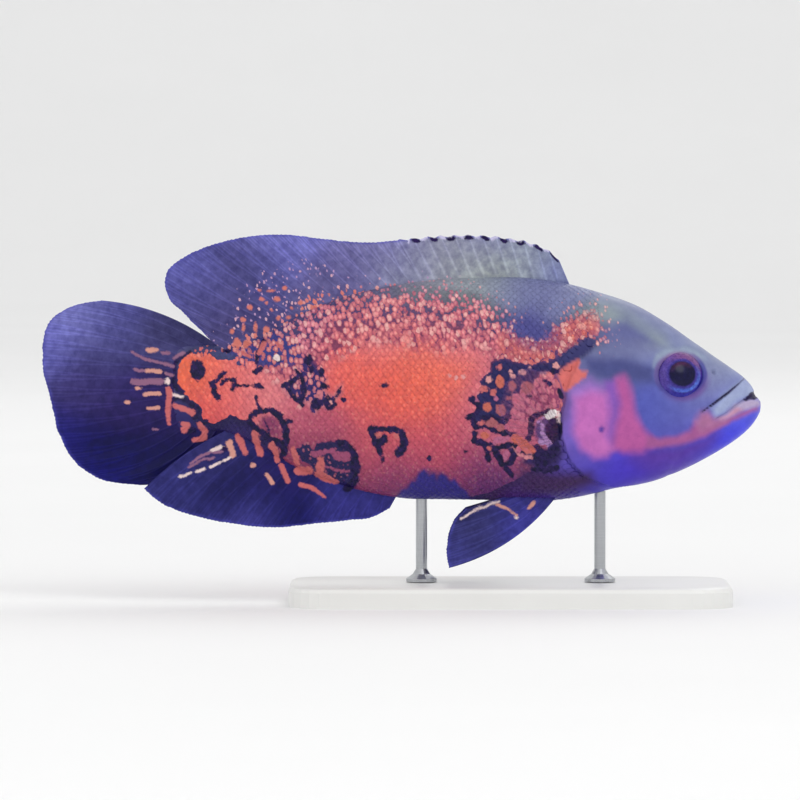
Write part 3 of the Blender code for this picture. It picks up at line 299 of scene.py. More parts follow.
# Dark marks: strokes as (width at the start, at the end, line) and ovals as (s, h, half length, half
# height). Bright marks: the same in groups of one colour
INK_STROKES = [
    # front net
    (2.7, 2.3, [(108.4, -4.7), (104.5, -4.7), (100.6, -5.9), (98.3, -3.5)]),
    (2.7, 2.0, [(112.7, 2.7), (110.0, 0.4), (110.8, -2.7)]),
    (2.0, 2.3, [(111.5, -7.8), (108.0, -7.8), (103.0, -9.4), (99.8, -10.1), (96.3, -11.3)]),
    (2.3, 2.0, [(113.1, -4.7), (111.5, -7.8)]),
    (2.3, 2.3, [(111.2, -10.5), (111.5, -13.3), (108.4, -14.0), (105.3, -14.8)]),
    (2.7, 2.3, [(107.2, -14.4), (106.5, -17.6), (106.1, -20.7)]),
    (2.3, 2.3, [(95.9, -15.2), (99.1, -15.2), (102.6, -15.6)]),
    (2.7, 2.3, [(104.1, -16.0), (102.6, -19.1), (100.6, -22.2), (97.9, -22.2), (95.9, -19.1),
    (97.5, -16.0)]),
    # Painted shadow under the orange fingers by the pectoral root.
    (1.6, 1.6, [(92.8, -17.9), (89.3, -18.3)]),
    (1.2, 1.2, [(84.6, 9.8), (81.9, 8.6)]),
    (1.2, 1.2, [(91.3, 3.9), (89.7, 4.3)]),
    (1.6, 2.0, [(78.8, 6.6), (77.2, 3.5)]),
    (2.0, 2.0, [(99.5, -23.8), (96.7, -26.9)]),
    # mouth: painted shade in the front of the mouth's slit
    (0.8, 3.1, [(6.2, 2.7), (3.9, 3.5), (2.0, 3.9)]),
    # fin root: painted shadow in the pectoral fin's axil and under its root
    (2.3, 2.3, [(91.3, -12.9), (89.7, -10.5), (90.1, -7.4), (89.3, -4.7), (87.0, -2.7), (82.7, -1.6)]),
    (5.5, 5.9, [(87.4, -17.2), (85.4, -20.3)]),
    (3.9, 2.7, [(85.4, -19.9), (81.5, -17.6), (79.6, -14.8)]),
    (2.0, 2.3, [(88.5, -24.2), (83.9, -24.6), (79.6, -23.8)]),
    # rear net
    (2.0, 1.6, [(186.0, 7.4), (182.9, 8.6), (180.6, 10.5)]),
    (1.6, 2.0, [(180.6, 13.7), (178.2, 10.5), (178.2, 5.9), (178.6, 2.0)]),
    (1.6, 1.8, [(183.7, 6.2), (181.0, 2.7), (178.2, 0.4)]),
    (1.0, 1.0, [(166.5, 2.3), (164.2, 5.1), (162.6, 7.8)]),
    (1.6, 1.6, [(168.5, 3.9), (169.7, 1.6), (168.1, -1.2), (165.8, 0.8)]),
    (2.0, 1.6, [(193.8, 25.0), (196.2, 20.7), (195.8, 16.8)]),
    (2.0, 2.0, [(197.0, 12.9), (194.2, 14.4)]),
    (2.0, 1.2, [(175.5, 19.5), (175.1, 16.0)]),
    (1.6, 1.6, [(170.4, 14.4), (170.8, 12.1)]),
    # stem
    (1.6, 2.0, [(222.3, 20.7), (225.0, 19.5), (227.4, 16.8), (227.8, 12.9), (228.2, 9.0), (227.0, 6.2),
    (225.0, 5.1)]),
    (1.6, 1.6, [(228.9, 2.0), (226.2, 2.7), (223.1, 1.6), (220.0, -0.4), (218.4, -2.3)]),
    (1.6, 1.8, [(214.1, 8.2), (211.8, 9.4), (210.2, 10.9), (208.3, 12.5)]),
    (2.7, 2.3, [(212.9, 7.0), (212.2, 4.3), (210.6, 2.7)]),
    (1.6, 1.2, [(209.8, 8.2), (208.3, 9.4), (206.7, 9.8), (204.8, 8.6)]),
    (1.4, 1.4, [(204.8, 10.1), (204.4, 8.2), (205.1, 5.9)]),
    (1.4, 1.4, [(204.0, 7.0), (201.6, 7.4), (199.3, 7.4)]),
    (1.6, 1.6, [(196.6, 7.4), (193.4, 7.4)]),
    (0.6, 0.6, [(204.8, 6.6), (194.2, 7.8)]),
    (1.4, 1.6, [(196.6, 3.1), (195.4, 0.0), (194.2, -2.0)]),
    # loops
    (2.3, 2.3, [(194.2, -2.0), (196.6, -2.3), (198.9, -4.7), (198.9, -7.8), (196.2, -9.8)]),
    (2.3, 3.1, [(197.0, -8.6), (194.6, -10.1), (191.9, -12.5), (189.2, -14.0), (186.4, -16.0)]),
    (3.1, 2.3, [(186.0, -18.3), (184.9, -13.7), (184.9, -9.8), (185.6, -6.6), (187.6, -3.5),
    (190.7, -1.6), (194.2, -2.0)]),
    (0.8, 0.8, [(193.4, -4.7), (192.3, -9.0), (191.1, -12.9)]),
    (2.0, 2.0, [(184.9, -6.2), (182.5, -6.2)]),
    (2.3, 3.5, [(164.6, -13.7), (161.5, -14.8), (159.1, -17.2), (158.0, -20.7), (157.6, -24.6),
    (158.3, -28.9), (161.1, -32.4)]),
    (3.1, 2.7, [(150.9, -9.0), (149.8, -12.1), (149.0, -14.8), (147.8, -17.9)]),
    (2.3, 2.3, [(150.2, -8.6), (146.6, -8.6)]),
    (2.5, 3.3, [(145.5, -8.6), (142.7, -8.6), (140.4, -9.8), (139.2, -12.9), (139.2, -16.0),
    (140.8, -17.9)]),
    (1.6, 1.2, [(146.6, -19.9), (147.0, -21.8)]),
    (3.9, 3.9, [(146.6, -12.5), (149.0, -14.0)]),
]
INK_SPOTS = [
    (219.2, 13.3, 2.9, 4.3), (146.6, 8.2, 1.8, 0.7), (129.5, -19.9, 0.9, 1.0), (114.7, -17.6, 1.0, 0.7),
    # (80.7, -9.0, 3.5, 5.3) is the black oval at the pectoral fin's root, painted shadow of its axil.
    (147.0, -21.1, 0.8, 1.2), (80.7, -9.0, 3.5, 5.3), (113.1, -4.3, 2.0, 1.6), (80.0, 13.7, 1.3, 1.3),
    (169.7, 7.8, 1.8, 1.2), (170.8, 13.7, 1.2, 1.7), (174.7, 14.0, 1.2, 1.4), (162.2, 2.7, 1.2, 1.2),
    (172.0, 0.8, 1.6, 2.1), (167.7, 2.0, 2.0, 1.7), (175.9, 17.9, 1.6, 2.0), (195.4, 7.4, 1.8, 1.1),
    (220.3, -3.9, 1.6, 1.6), (215.7, -6.2, 1.2, 1.2), (209.0, -16.8, 1.2, 1.2), (221.5, -10.1, 2.0, 1.6),
    (173.2, 1.2, 1.6, 2.3), (169.7, 8.2, 1.2, 1.2), (188.0, 18.3, 1.6, 1.3), (207.5, 20.7, 2.0, 1.0),
]
BRIGHT_STROKES = [
    ("#c8686a", [
        (2.3, 2.3, [(203.6, -12.5), (202.0, -16.0), (200.8, -19.1)]),
        (2.5, 2.3, [(197.0, -11.3), (196.2, -15.2), (195.0, -19.1)]),
        (2.3, 2.3, [(190.7, -15.2), (189.2, -18.3), (188.4, -21.4)]),
        (2.1, 2.0, [(186.8, -23.4), (185.6, -26.5), (184.5, -29.6)]),
        (3.5, 3.1, [(180.2, -25.4), (175.5, -25.4)]),
        (2.3, 2.3, [(182.1, -17.2), (180.6, -21.8)]),
        (2.0, 1.2, [(179.0, -30.8), (174.7, -32.0), (169.7, -35.9)]),
        (3.1, 2.0, [(171.6, -26.9), (168.9, -28.5), (165.8, -29.6)]),
        (2.7, 3.1, [(170.8, -20.7), (171.2, -24.6)]),
        (2.3, 2.0, [(218.4, -7.4), (216.1, -9.8), (216.5, -12.9), (220.3, -13.7)]),
        (2.3, 2.7, [(225.0, -7.0), (223.1, -7.4), (224.6, -9.8)]),
        (2.3, 1.2, [(230.5, 6.2), (230.1, 3.5), (230.5, 0.4), (230.5, -3.1), (230.1, -7.4)]),
        (2.0, 2.3, [(227.8, 0.0), (224.6, -1.2), (220.7, -2.7)]),
        (2.0, 2.0, [(193.8, 24.2), (195.4, 20.7)]),
        (1.6, 2.0, [(188.8, 24.6), (186.8, 22.6)]),
        (1.6, 1.6, [(201.2, 20.7), (198.9, 19.1)]),
    ]),
    ("#9c4c70", [
        (2.0, 2.0, [(173.9, -18.7), (170.8, -17.9), (166.1, -17.2)]),
        (3.9, 3.5, [(164.6, -19.1), (161.1, -19.5)]),
        (1.2, 1.0, [(168.9, -23.8), (165.0, -25.0), (160.7, -25.4)]),
    ]),
    ("#d4968a", [
        (2.3, 2.1, [(207.1, -14.8), (205.9, -17.6), (205.5, -19.9)]),
        (1.6, 1.6, [(192.7, -27.3), (191.1, -29.2), (190.3, -30.8)]),
        (1.4, 1.4, [(238.3, -1.6), (234.0, -1.6)]),
        (1.6, 1.6, [(239.8, 3.9), (234.0, 3.9)]),
        (1.6, 1.6, [(239.5, 13.3), (234.0, 13.3)]),
        (1.6, 1.6, [(239.1, 21.4), (235.6, 21.4)]),
        (1.2, 0.8, [(102.2, -38.2), (97.9, -40.2), (95.2, -42.5)]),
        (1.2, 1.6, [(90.1, -39.4), (88.1, -37.8)]),
    ]),
    ("#8f6280", [
        (2.5, 2.5, [(244.5, 9.0), (234.0, 9.0)]),
        (1.2, 1.2, [(228.5, 18.3), (224.6, 20.7)]),
        (1.2, 1.2, [(231.7, 12.5), (228.9, 11.7)]),
        (1.0, 1.2, [(245.3, 20.7), (241.8, 18.7), (237.1, 17.2), (231.7, 16.4), (228.2, 15.2)]),
        (1.2, 1.2, [(243.8, 13.7), (239.5, 13.3)]),
        (1.2, 1.2, [(233.2, 20.3), (230.5, 20.7)]),
        (1.0, 1.0, [(222.3, -22.6), (218.4, -20.3), (213.7, -18.3), (209.8, -17.9)]),
        (0.9, 0.9, [(223.1, -24.2), (218.4, -21.8), (212.9, -20.3)]),
        (0.8, 0.8, [(236.7, -9.8), (234.4, -9.8)]),
        (1.2, 1.2, [(85.8, 12.9), (83.5, 13.3)]),
    ]),
    ("#ead2d0", [
        (1.6, 1.4, [(213.7, -17.6), (210.2, -16.0)]),
        (1.0, 1.0, [(209.4, -21.4), (206.7, -20.7)]),
        (1.1, 1.1, [(214.5, -24.2), (211.0, -22.6)]),
        (1.1, 1.1, [(220.0, -25.7), (216.8, -25.0)]),
        (1.0, 0.9, [(226.2, -28.1), (222.3, -26.5)]),
        (0.9, 1.0, [(228.5, 3.9), (224.6, 3.1)]),
        (1.2, 1.0, [(80.0, -2.3), (79.2, -4.3), (78.8, -5.9)]),
        (0.8, 0.7, [(101.4, -37.1), (109.2, -40.2), (117.0, -43.7)]),
    ]),
    ("#cc685c", [
        (3.5, 2.7, [(95.5, -12.5), (92.0, -15.2), (89.3, -16.8)]),
    ]),
    ("#d48890", [
        (1.0, 1.3, [(97.1, -16.0), (94.0, -19.1), (89.3, -19.9)]),
    ]),
    # Painted highlight: a white glint on the pectoral fin's root.
    ("#faf4f4", [
        (2.3, 2.1, [(83.1, -3.5), (80.3, -1.6)]),
    ]),
    ("#b48cc4", [
        (1.8, 1.2, [(85.4, -7.0), (85.8, -9.8), (84.2, -12.1), (81.9, -14.0)]),
        (0.8, 0.8, [(87.0, -5.5), (85.0, -4.3)]),
        (2.0, 2.0, [(86.2, -13.3), (83.5, -14.4)]),
    ]),
]
BRIGHT_SPOTS = [
    ("#c8686a", [
        (90.5, -16.8, 2.0, 1.6), (148.6, -10.9, 1.1, 0.9), (141.6, -11.3, 0.9, 1.3),
        (105.7, -16.0, 0.9, 0.9), (108.0, 6.4, 1.6, 1.2), (104.1, 5.9, 1.2, 1.2),
        (108.8, -6.6, 0.9, 0.9), (101.8, 15.8, 1.2, 1.2),
    ]),
    ("#c8685a", [
        (101.4, 9.8, 1.7, 2.5), (106.7, -0.4, 1.9, 2.0), (107.4, -11.2, 2.1, 1.1),
    ]),
    ("#aa5e68", [
        (96.7, 8.3, 1.6, 2.2), (91.1, 7.4, 2.2, 2.2), (101.4, -1.2, 2.0, 2.1), (98.3, 3.5, 1.2, 0.9),
        (104.8, -6.4, 2.2, 1.6), (101.1, -8.0, 1.2, 1.4),
    ]),
    ("#b46488", [
        (100.6, -12.6, 3.1, 1.2), (99.5, -19.2, 1.2, 2.2), (103.6, -14.0, 0.9, 0.9),
        (103.0, 3.1, 0.9, 0.9), (110.6, 2.3, 0.8, 0.8),
    ]),
    ("#d4968a", [
        (197.7, -23.8, 0.9, 0.9), (242.6, 6.6, 1.2, 0.7), (246.9, 0.8, 1.1, 0.9),
    ]),
    ("#dc9898", [
        (79.6, 16.0, 1.1, 1.1), (118.6, 11.5, 0.9, 0.7), (115.8, 11.7, 0.8, 0.7),
        (121.3, 12.1, 0.6, 0.5), (106.1, 10.5, 1.3, 1.3), (97.5, 14.3, 0.9, 0.9), (96.7, 12.1, 0.8, 0.9),
        (92.9, 13.7, 1.2, 1.1), (84.2, 11.7, 0.8, 0.6), (90.1, 16.0, 0.8, 0.7), (179.4, -0.8, 0.9, 0.8),
        (167.3, 1.6, 0.9, 0.9),
    ]),
    ("#ead2d0", [
        (230.9, 9.4, 1.2, 1.4), (95.2, -43.3, 0.7, 0.6), (188.4, 18.7, 1.2, 1.2),
    ]),
]
FIN_SPOTS = [
    (199.3, 37.8, 1.1, 1.1), (202.0, 33.1, 0.9, 0.9), (194.6, 41.3, 0.8, 0.8), (192.7, 39.8, 0.8, 0.8),
    (188.4, 41.0, 1.2, 1.0), (185.2, 45.2, 1.0, 0.9), (179.0, 39.8, 1.0, 0.9), (188.0, 34.3, 0.9, 1.0),
    (192.7, 30.0, 1.1, 1.2), (204.0, 24.6, 1.3, 1.7), (200.5, 24.2, 1.2, 1.6), (205.9, 28.9, 0.8, 0.9),
    (195.4, 44.9, 0.8, 0.6), (184.1, 33.9, 0.9, 0.8), (182.5, 37.8, 0.7, 0.6), (190.7, 37.1, 0.6, 0.6),
    (197.0, 30.5, 0.7, 1.6), (201.6, 30.0, 0.7, 1.6), (190.6, 44.6, 1.5, 0.5),
]
# Bead cells to a metre along the body, across it and upwards
BEAD_SPACING = (620.0, 200.0, 430.0)
MARGIN_SPOTS = (80.6, 86.6, 93.6, 100.2, 107.4, 113.9, 120.9, 127.6, 134.6)


# ---- curves and fields
def profile(points):
    """A smooth curve through (s, value) that never overshoots: cubic pieces with limited slopes."""
    at, value = np.array(points, float).T
    step = np.diff(at)
    slope = np.diff(value) / step
    rising = slope[:-1] * slope[1:] > 0
    total = np.where(rising, slope[:-1] + slope[1:], 1.0)
    inner = np.where(rising, 2 * slope[:-1] * slope[1:] / total, 0.0)
    tangent = np.concatenate(([slope[0]], inner, [slope[-1]]))

    def read(s):
        s = np.asarray(s, float)
        i = np.clip(np.searchsorted(at, s) - 1, 0, len(step) - 1)
        t = np.clip((s - at[i]) / step[i], 0, 1)
        first = (1 + 2 * t) * (1 - t) ** 2 * value[i] + t * (1 - t) ** 2 * step[i] * tangent[i]
        last = t * t * (3 - 2 * t) * value[i + 1] - t * t * (1 - t) * step[i] * tangent[i + 1]
        return first + last

    return read


def curve(points, t):
    """Points at t, from 0 to 1 by length, on a smooth line through the given points."""
    points = np.array(points, float)
    steps = np.linalg.norm(np.diff(points, axis=0), axis=1)
    knots = np.concatenate(([0.0], np.cumsum(steps))) / steps.sum()
    tangents = np.gradient(points, knots, axis=0)
    t = np.clip(np.asarray(t, float), 0, 1)
    i = np.clip(np.searchsorted(knots, t) - 1, 0, len(steps) - 1)
    width = (knots[i + 1] - knots[i])[:, None]
    f = ((t - knots[i]) / (knots[i + 1] - knots[i]))[:, None]
    first = (1 + 2 * f) * (1 - f) ** 2 * points[i] + f * (1 - f) ** 2 * width * tangents[i]
    last = f * f * (3 - 2 * f) * points[i + 1] - f * f * (1 - f) * width * tangents[i + 1]
    return first + last


back, belly, half_width = profile(BACK), profile(BELLY), profile(HALF_WIDTH)
square_above, square_below = profile(SQUARE_ABOVE), profile(SQUARE_BELOW)


def middle(s):
    return 0.5 * (back(s) + belly(s))


def bend(s):
    """How far the tail has turned away from -Y at s."""
    return BEND_REACH * (np.clip(s - BEND_START, 0, None) / (LENGTH - BEND_START)) ** 2


def place(points):
    """Metres of the frame from (s, y, h) in millimetres."""
    s, y, h = points[..., 0], points[..., 1], points[..., 2]
    return np.stack([SNOUT_X - s, y, SNOUT_Z + h], axis=-1) * MM


def section(s, angle):
    """y and h of the body's section at s; angle 0 is the back and pi the belly.

    The section is a superellipse about the middle height, with its own squareness above and below.
    """
    c, d = np.cos(angle), np.sin(angle)
    power = np.where(c >= 0, 2 / square_above(s), 2 / square_below(s))
    reach = np.where(c >= 0, back(s) - middle(s), middle(s) - belly(s))
    h = middle(s) + reach * np.sign(c) * np.abs(c) ** power
    return half_width(s) * np.sign(d) * np.abs(d) ** power, h


def flank(s, h):
    """Distance of the body's side from the middle plane at the place s, h of the side view."""
    centre = middle(s)
    above = h >= centre
    reach = np.where(above, back(s) - centre, centre - belly(s))
    square = np.where(above, square_above(s), square_below(s))
    part = np.clip(np.abs(h - centre) / reach, 0, 1)
    return half_width(s) * (1 - part ** square) ** (1 / square)


def smooth(low, high, x):
    """0 at low, 1 at high, with a soft S between."""
    t = np.clip((x - low) / (high - low), 0, 1)
    return t * t * (3 - 2 * t)


def distance(s, h, line):
    """Distance to a line of points, and how far along it the nearest place is, from 0 to 1."""
    line = np.array(line, float)
    lengths = np.linalg.norm(np.diff(line, axis=0), axis=1)
    best, along, start = np.full(np.shape(s), 1e9), np.zeros(np.shape(s)), 0.0
    for (a, b), length in zip(zip(line[:-1], line[1:]), lengths):
        ds, dh = b - a
        t = np.clip(((s - a[0]) * ds + (h - a[1]) * dh) / length ** 2, 0, 1)
        d = np.hypot(s - a[0] - t * ds, h - a[1] - t * dh)
        nearer = d < best
        best = np.where(nearer, d, best)
        along = np.where(nearer, (start + t * length) / lengths.sum(), along)
        start += length
    return best, along


def region(s, h, outline):
    """Distance to a closed outline, positive inside it."""
    line = np.array([*outline, outline[0]], float)
    inside = np.zeros(np.shape(s), bool)
    for (a, b) in zip(line[:-1], line[1:]):
        crosses = (a[1] > h) != (b[1] > h)
        reach = (b[0] - a[0]) * (h - a[1]) / (b[1] - a[1] if b[1] != a[1] else 1.0) + a[0]
        inside ^= crosses & (s < reach)
    d = distance(s, h, line)[0]
    return np.where(inside, d, -d)


def spots(s, h, places):
    """Distance into the nearest of some ovals, positive inside."""
    best = np.full(np.shape(s), -9.0)
    for cs, ch, rs, rh in places:
        best = np.maximum(best, (1 - np.hypot((s - cs) / rs, (h - ch) / rh)) * min(rs, rh))
    return best


def strokes(s, h, lines):
    """Distance into the nearest of some brush strokes, positive inside; far from one it isn't read."""
    best = np.full(np.shape(s), -9.0)
    for first, last, line in lines:
        low, high = np.min(line, axis=0) - 9, np.max(line, axis=0) + 9
        near = (s > low[0]) & (s < high[0]) & (h > low[1]) & (h < high[1])
        d, t = distance(s[near], h[near], line)
        best[near] = np.maximum(best[near], 0.5 * (first + (last - first) * t) - d)
    return best


def noise(s, h, size, seed):
    """Smooth random values from -1 to 1 with lumps about as large as size."""
    table = np.random.default_rng(seed).uniform(-1, 1, (97, 97))
    x, z = s / size + 31.7, h / size + 47.3
    i, k = np.floor(x).astype(int), np.floor(z).astype(int)
    u, w = smooth(0, 1, x - i), smooth(0, 1, z - k)
    a, b = table[i % 97, k % 97], table[(i + 1) % 97, k % 97]
    c, d = table[i % 97, (k + 1) % 97], table[(i + 1) % 97, (k + 1) % 97]
    return (a * (1 - u) + b * u) * (1 - w) + (c * (1 - u) + d * u) * w


def linear(code):
    """Scene-linear colour of a #rrggbb code."""
    value = np.array([int(code[i:i + 2], 16) for i in (1, 3, 5)]) / 255
    return np.where(value <= 0.04045, value / 12.92, ((value + 0.055) / 1.055) ** 2.4)


def blended(tones, s, h, reach=9.0):
    """Colour at s, h: the named tones weighed by how near each one is."""
    total = np.zeros((*np.shape(s), 3))
    weight = np.full(np.shape(s), 1e-12)
    for _, cs, ch, code in tones:
        d2 = ((s - cs) ** 2 + (h - ch) ** 2) / reach ** 2
        w = np.exp(-0.5 * np.minimum(d2, 40)) + 1e-3 / (1 + d2) ** 3
        total += w[..., None] * linear(code)
        weight += w
    return total / weight[..., None]


def mix(a, b, share):
    return a + (b - a) * share[..., None]


def shifted(s, h, way):
    """Places on the side view with a small wobble, and a wider one on the far flank, so that its
    markings differ from the near flank's as a real fish's do."""
    ws = 0.35 * noise(s, h, 2.6, 3) + 0.5 * noise(s, h, 9.0, 4)
    wh = 0.35 * noise(s, h, 2.6, 5) + 0.5 * noise(s, h, 9.0, 6)
    far = np.where(way > 0, 1.0, 0.0) * smooth(60, 100, s) * (1 - smooth(205, 225, s))
    return s + ws + far * 4.5 * noise(s, h, 26.0, 7), h + wh + far * 3.5 * noise(s, h, 26.0, 8)


def marks(s, h):
    """Distances into the dark and the bright marks, and the colour of the nearest bright one."""
    ink = np.maximum(strokes(s, h, INK_STROKES), spots(s, h, INK_SPOTS))
    bright = spots(s, h, FIN_SPOTS)
    hue = np.broadcast_to(linear("#d0766c"), (*np.shape(s), 3))
    for reach, groups in ((strokes, BRIGHT_STROKES), (spots, BRIGHT_SPOTS)):
        for code, places in groups:
            d = reach(s, h, places)
            hue = np.where((d > bright)[..., None], linear(code), hue)
            bright = np.maximum(bright, d)
    return ink, bright, hue


def bead_cover(s, h):
    """Size of the orange beads at s, h as a share of their spacing, and how loose they lie.

    Above 1 the orange is whole; towards the field's upper edge the beads shrink, and below 0 there
    are none. The third value is the distance into the orange field.
    """
    border = np.maximum(region(s, h, FLANK_FIELD), region(s, h, SPECKLE_FIELD) + 1.5)
    line = np.array(BEAD_LINE)
    rise = h - np.interp(s, line[:, 0], line[:, 1]) + 3.0 * noise(s, h, 4.0, 71)
    loose = smooth(-2, 9, rise)
    whole = -0.8 + 2.2 * smooth(-1.0, 1.0, border)
    beads = np.clip(0.49 + 0.045 * border, -0.3, 0.98 - 0.34 * smooth(-3, 12, rise))
    cover = whole + (beads - whole) * smooth(0.0, 0.3, loose)
    for _, _, _, size, soft, outline in NETS:
        share = smooth(-soft, soft, region(s, h, outline) + 0.4 * soft * noise(s, h, 2.5, 72))
        size = np.maximum(cover, size) if soft > 3 else size
        cover = cover + (size - cover) * share
    return cover, loose, border


def body_paint(s, h, way, centre=None, dice=None):
    """Colour fields of the skin and scales at s, h on the side given by way.

    tint is the ground colour. ink and bright are distances into dark and bright marks, and hue the
    bright ones' colour. bead is the size of the beads and gap the colour between them. grain says how
    strongly the orange is flecked. centre and dice are a scale's middle and its own random draw.
    """
    s0, h0 = (s, h) if centre is None else centre
    dice = 0 * s if dice is None else dice
    cs, ch = shifted(s0, h0, way)
    at_s, at_h = shifted(s, h, way)
    behind = blended(BACK_TONES, at_s, at_h)
    bead, loose, border = bead_cover(at_s, at_h)
    ember = blended(FLANK_TONES, at_s, at_h)
    ember = mix(ember, linear("#b48aa8"), 0.7 * smooth(4, -3, border) * loose)
    tint = mix(behind, ember, smooth(-9, -3, border))
    gap = mix(behind, behind * 0.55, smooth(-6, 0, border))
    gap = mix(gap, linear("#54386c"), 0.8 * smooth(-1, 7, border))
    gap = mix(gap, linear("#94405e"), 0.85 * smooth(5, 15, border))
    for _, code, own, _, soft, outline in NETS:
        share = smooth(-soft, soft, region(at_s, at_h, outline))
        gap = mix(gap, linear(code), share)
        tint = mix(tint, linear(own), 0.7 * share)
    for name, code, soft, outline in PATCHES:
        share = smooth(-soft, soft, region(at_s, at_h, outline))
        tint, gap = mix(tint, linear(code), share), mix(gap, linear(code), share)
    mark_s, mark_h = at_s + 0.25 * (cs - at_s), at_h + 0.25 * (ch - at_h)
    mark_s = mark_s + 0.40 * noise(at_s, at_h, 1.1, 61)
    mark_h = mark_h + 0.40 * noise(at_s, at_h, 1.1, 62)
    ink, bright, hue = marks(mark_s, mark_h)
    grain = smooth(-0.1, 0.3, bead) * (0.35 + 0.65 * loose) * smooth(0.06, 0.22, tint[..., 0])
    shade = (1 + 0.08 * dice)[..., None]
    return {"tint": tint * shade, "gap": gap * shade, "hue": hue, "ink": ink, "bright": bright,
            "bead": bead, "grain": grain}


# ---- meshes
COLOURS = ("tint", "gap", "hue")


def sheet_faces(rows, columns, wrap=False):
    """Quads of a grid of points stored row by row; wrap joins each row's end to its start."""
    number = np.arange(rows * columns).reshape(rows, columns)
    if wrap:
        number = np.concatenate([number, number[:, :1]], axis=1)
    return np.stack([number[:-1, :-1], number[:-1, 1:], number[1:, 1:], number[1:, :-1]], -1).reshape(-1, 4)


def make_piece(name, points, quads, triangles=(), fields=None, uv=None, look=None, slot=None):
    """A mesh in metres from (s, y, h) points, with its faces outwards and a value per point for each
    field, which the paint reads."""
    where = place(np.asarray(points, float))
    quads = np.asarray(quads, int).reshape(-1, 4)
    triangles = np.asarray(triangles, int).reshape(-1, 3)
    corners = np.concatenate([quads[:, [0, 1, 2]], quads[:, [0, 2, 3]], triangles])
    a, b, c = (where[corners[:, i]] for i in range(3))
    if np.sum(a * np.cross(b, c)) < 0:
        quads, triangles = quads[:, ::-1], triangles[:, ::-1]
    mesh = bpy.data.meshes.new(name)
    mesh.from_pydata(where.tolist(), [], quads.tolist() + triangles.tolist())
    mesh.shade_smooth()
    for key, value in (fields or {}).items():
        if key in COLOURS:
            colours = np.concatenate([value.reshape(-1, 3), np.ones((value.size // 3, 1))], axis=1)
            layer = mesh.attributes.new(key, "FLOAT_COLOR", "POINT")
            layer.data.foreach_set("color", colours.astype(np.float32).ravel())
        else:
            layer = mesh.attributes.new(key, "FLOAT", "POINT")
            layer.data.foreach_set("value", np.asarray(value, np.float32).ravel())
    if uv is not None:
        corner_vert = np.empty(len(mesh.loops), np.int32)
        mesh.loops.foreach_get("vertex_index", corner_vert)
        mesh.uv_layers.new(name="OFBake").data.foreach_set("uv", uv[corner_vert].astype(np.float32).ravel())
    piece = bpy.data.objects.new(name, mesh)
    bpy.context.scene.collection.objects.link(piece)
    mesh.materials.append(look)
    if slot:
        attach(piece, "root")
    return piece


def facing(surface):
    """Unit normals of a grid of points."""
    normal = np.cross(np.gradient(surface, axis=0), np.gradient(surface, axis=1))
    return normal / np.maximum(np.linalg.norm(normal, axis=2, keepdims=True), 1e-9)


# ---- the skin
def relief(s, h):
    """How far the head's skin stands out from the plain loft, in millimetres.

    Each form is a soft bump or dip across a named line: rolls for the lips, V grooves for the mouth,
    the upper lip's slot and the creases, a ring and a bowl for the eye, a step at the gill cover.
    """
    out = np.zeros(np.shape(s))
    d, t = distance(s, h, UPPER_LIP_LINE)
    out += 1.0 * np.exp(-(d / 2.3) ** 2) * (1 - 0.75 * t) * (0.25 + 0.75 * smooth(0.0, 0.45, t))
    d, t = distance(s, h, LOWER_LIP_LINE)
    out += 1.0 * np.exp(-(d / 1.9) ** 2) * (1 - 0.7 * t) * (0.25 + 0.75 * smooth(0.0, 0.4, t))
    d, t = distance(s, h, MOUTH_LINE)
    half = 0.25 + 0.95 * (1 - smooth(0.05, 0.38, t))
    depth = (0.35 + 0.75 * smooth(0.1, 0.4, t)) * (1 - smooth(0.93, 1.0, t))
    out -= depth * (1 - smooth(half - 0.25, half + 0.45, d))
    d, t = distance(s, h, LIP_GROOVE)
    out -= (0.65 + 0.5 * t) * np.exp(-(d / (0.42 + 0.35 * t)) ** 2) * smooth(0.15, 0.4, t)
    d, t = distance(s, h, JAW_CREASE)
    out -= 0.45 * np.exp(-(d / 1.3) ** 2) * (1 - 0.6 * t)
    d, t = distance(s, h, CHEEK_CREASE)
    out -= 0.35 * np.exp(-(d / 1.1) ** 2) * np.sin(np.pi * np.clip(t, 0, 1)) ** 0.5
    ring = np.hypot((s - EYE_PLACE[0]) / EYE_WIDER, (h - EYE_PLACE[1]) / EYE_LOWER)
    out += 0.38 * np.exp(-((ring - RIM_RADIUS - 0.5) / 1.3) ** 2)
    out += 0.45 * np.exp(-((ring - 11.6) / 1.5) ** 2) * smooth(0, 7, h - EYE_PLACE[1])
    out -= 4.0 * (1 - smooth(SOCKET_RADIUS - 0.9, SOCKET_RADIUS + 0.1, ring))
    pit = np.hypot(s - NOSTRIL_PLACE[0], h - NOSTRIL_PLACE[1])
    out += 0.2 * np.exp(-((pit - 1.3) / 0.5) ** 2) - 0.9 * (1 - smooth(0.3, 1.1, pit))
    d, t = distance(s, h, GILL_EDGE)
    front = region(s, h, [*GILL_EDGE, (46.0, -20.0), (46.0, 25.2)]) > 0
    ends = smooth(0.0, 0.12, t) * (1 - smooth(0.86, 1.0, t))
    out += ends * np.where(front, 0.95 * np.exp(-d / 9.0), -0.7 * np.exp(-d / 1.1))
    return out


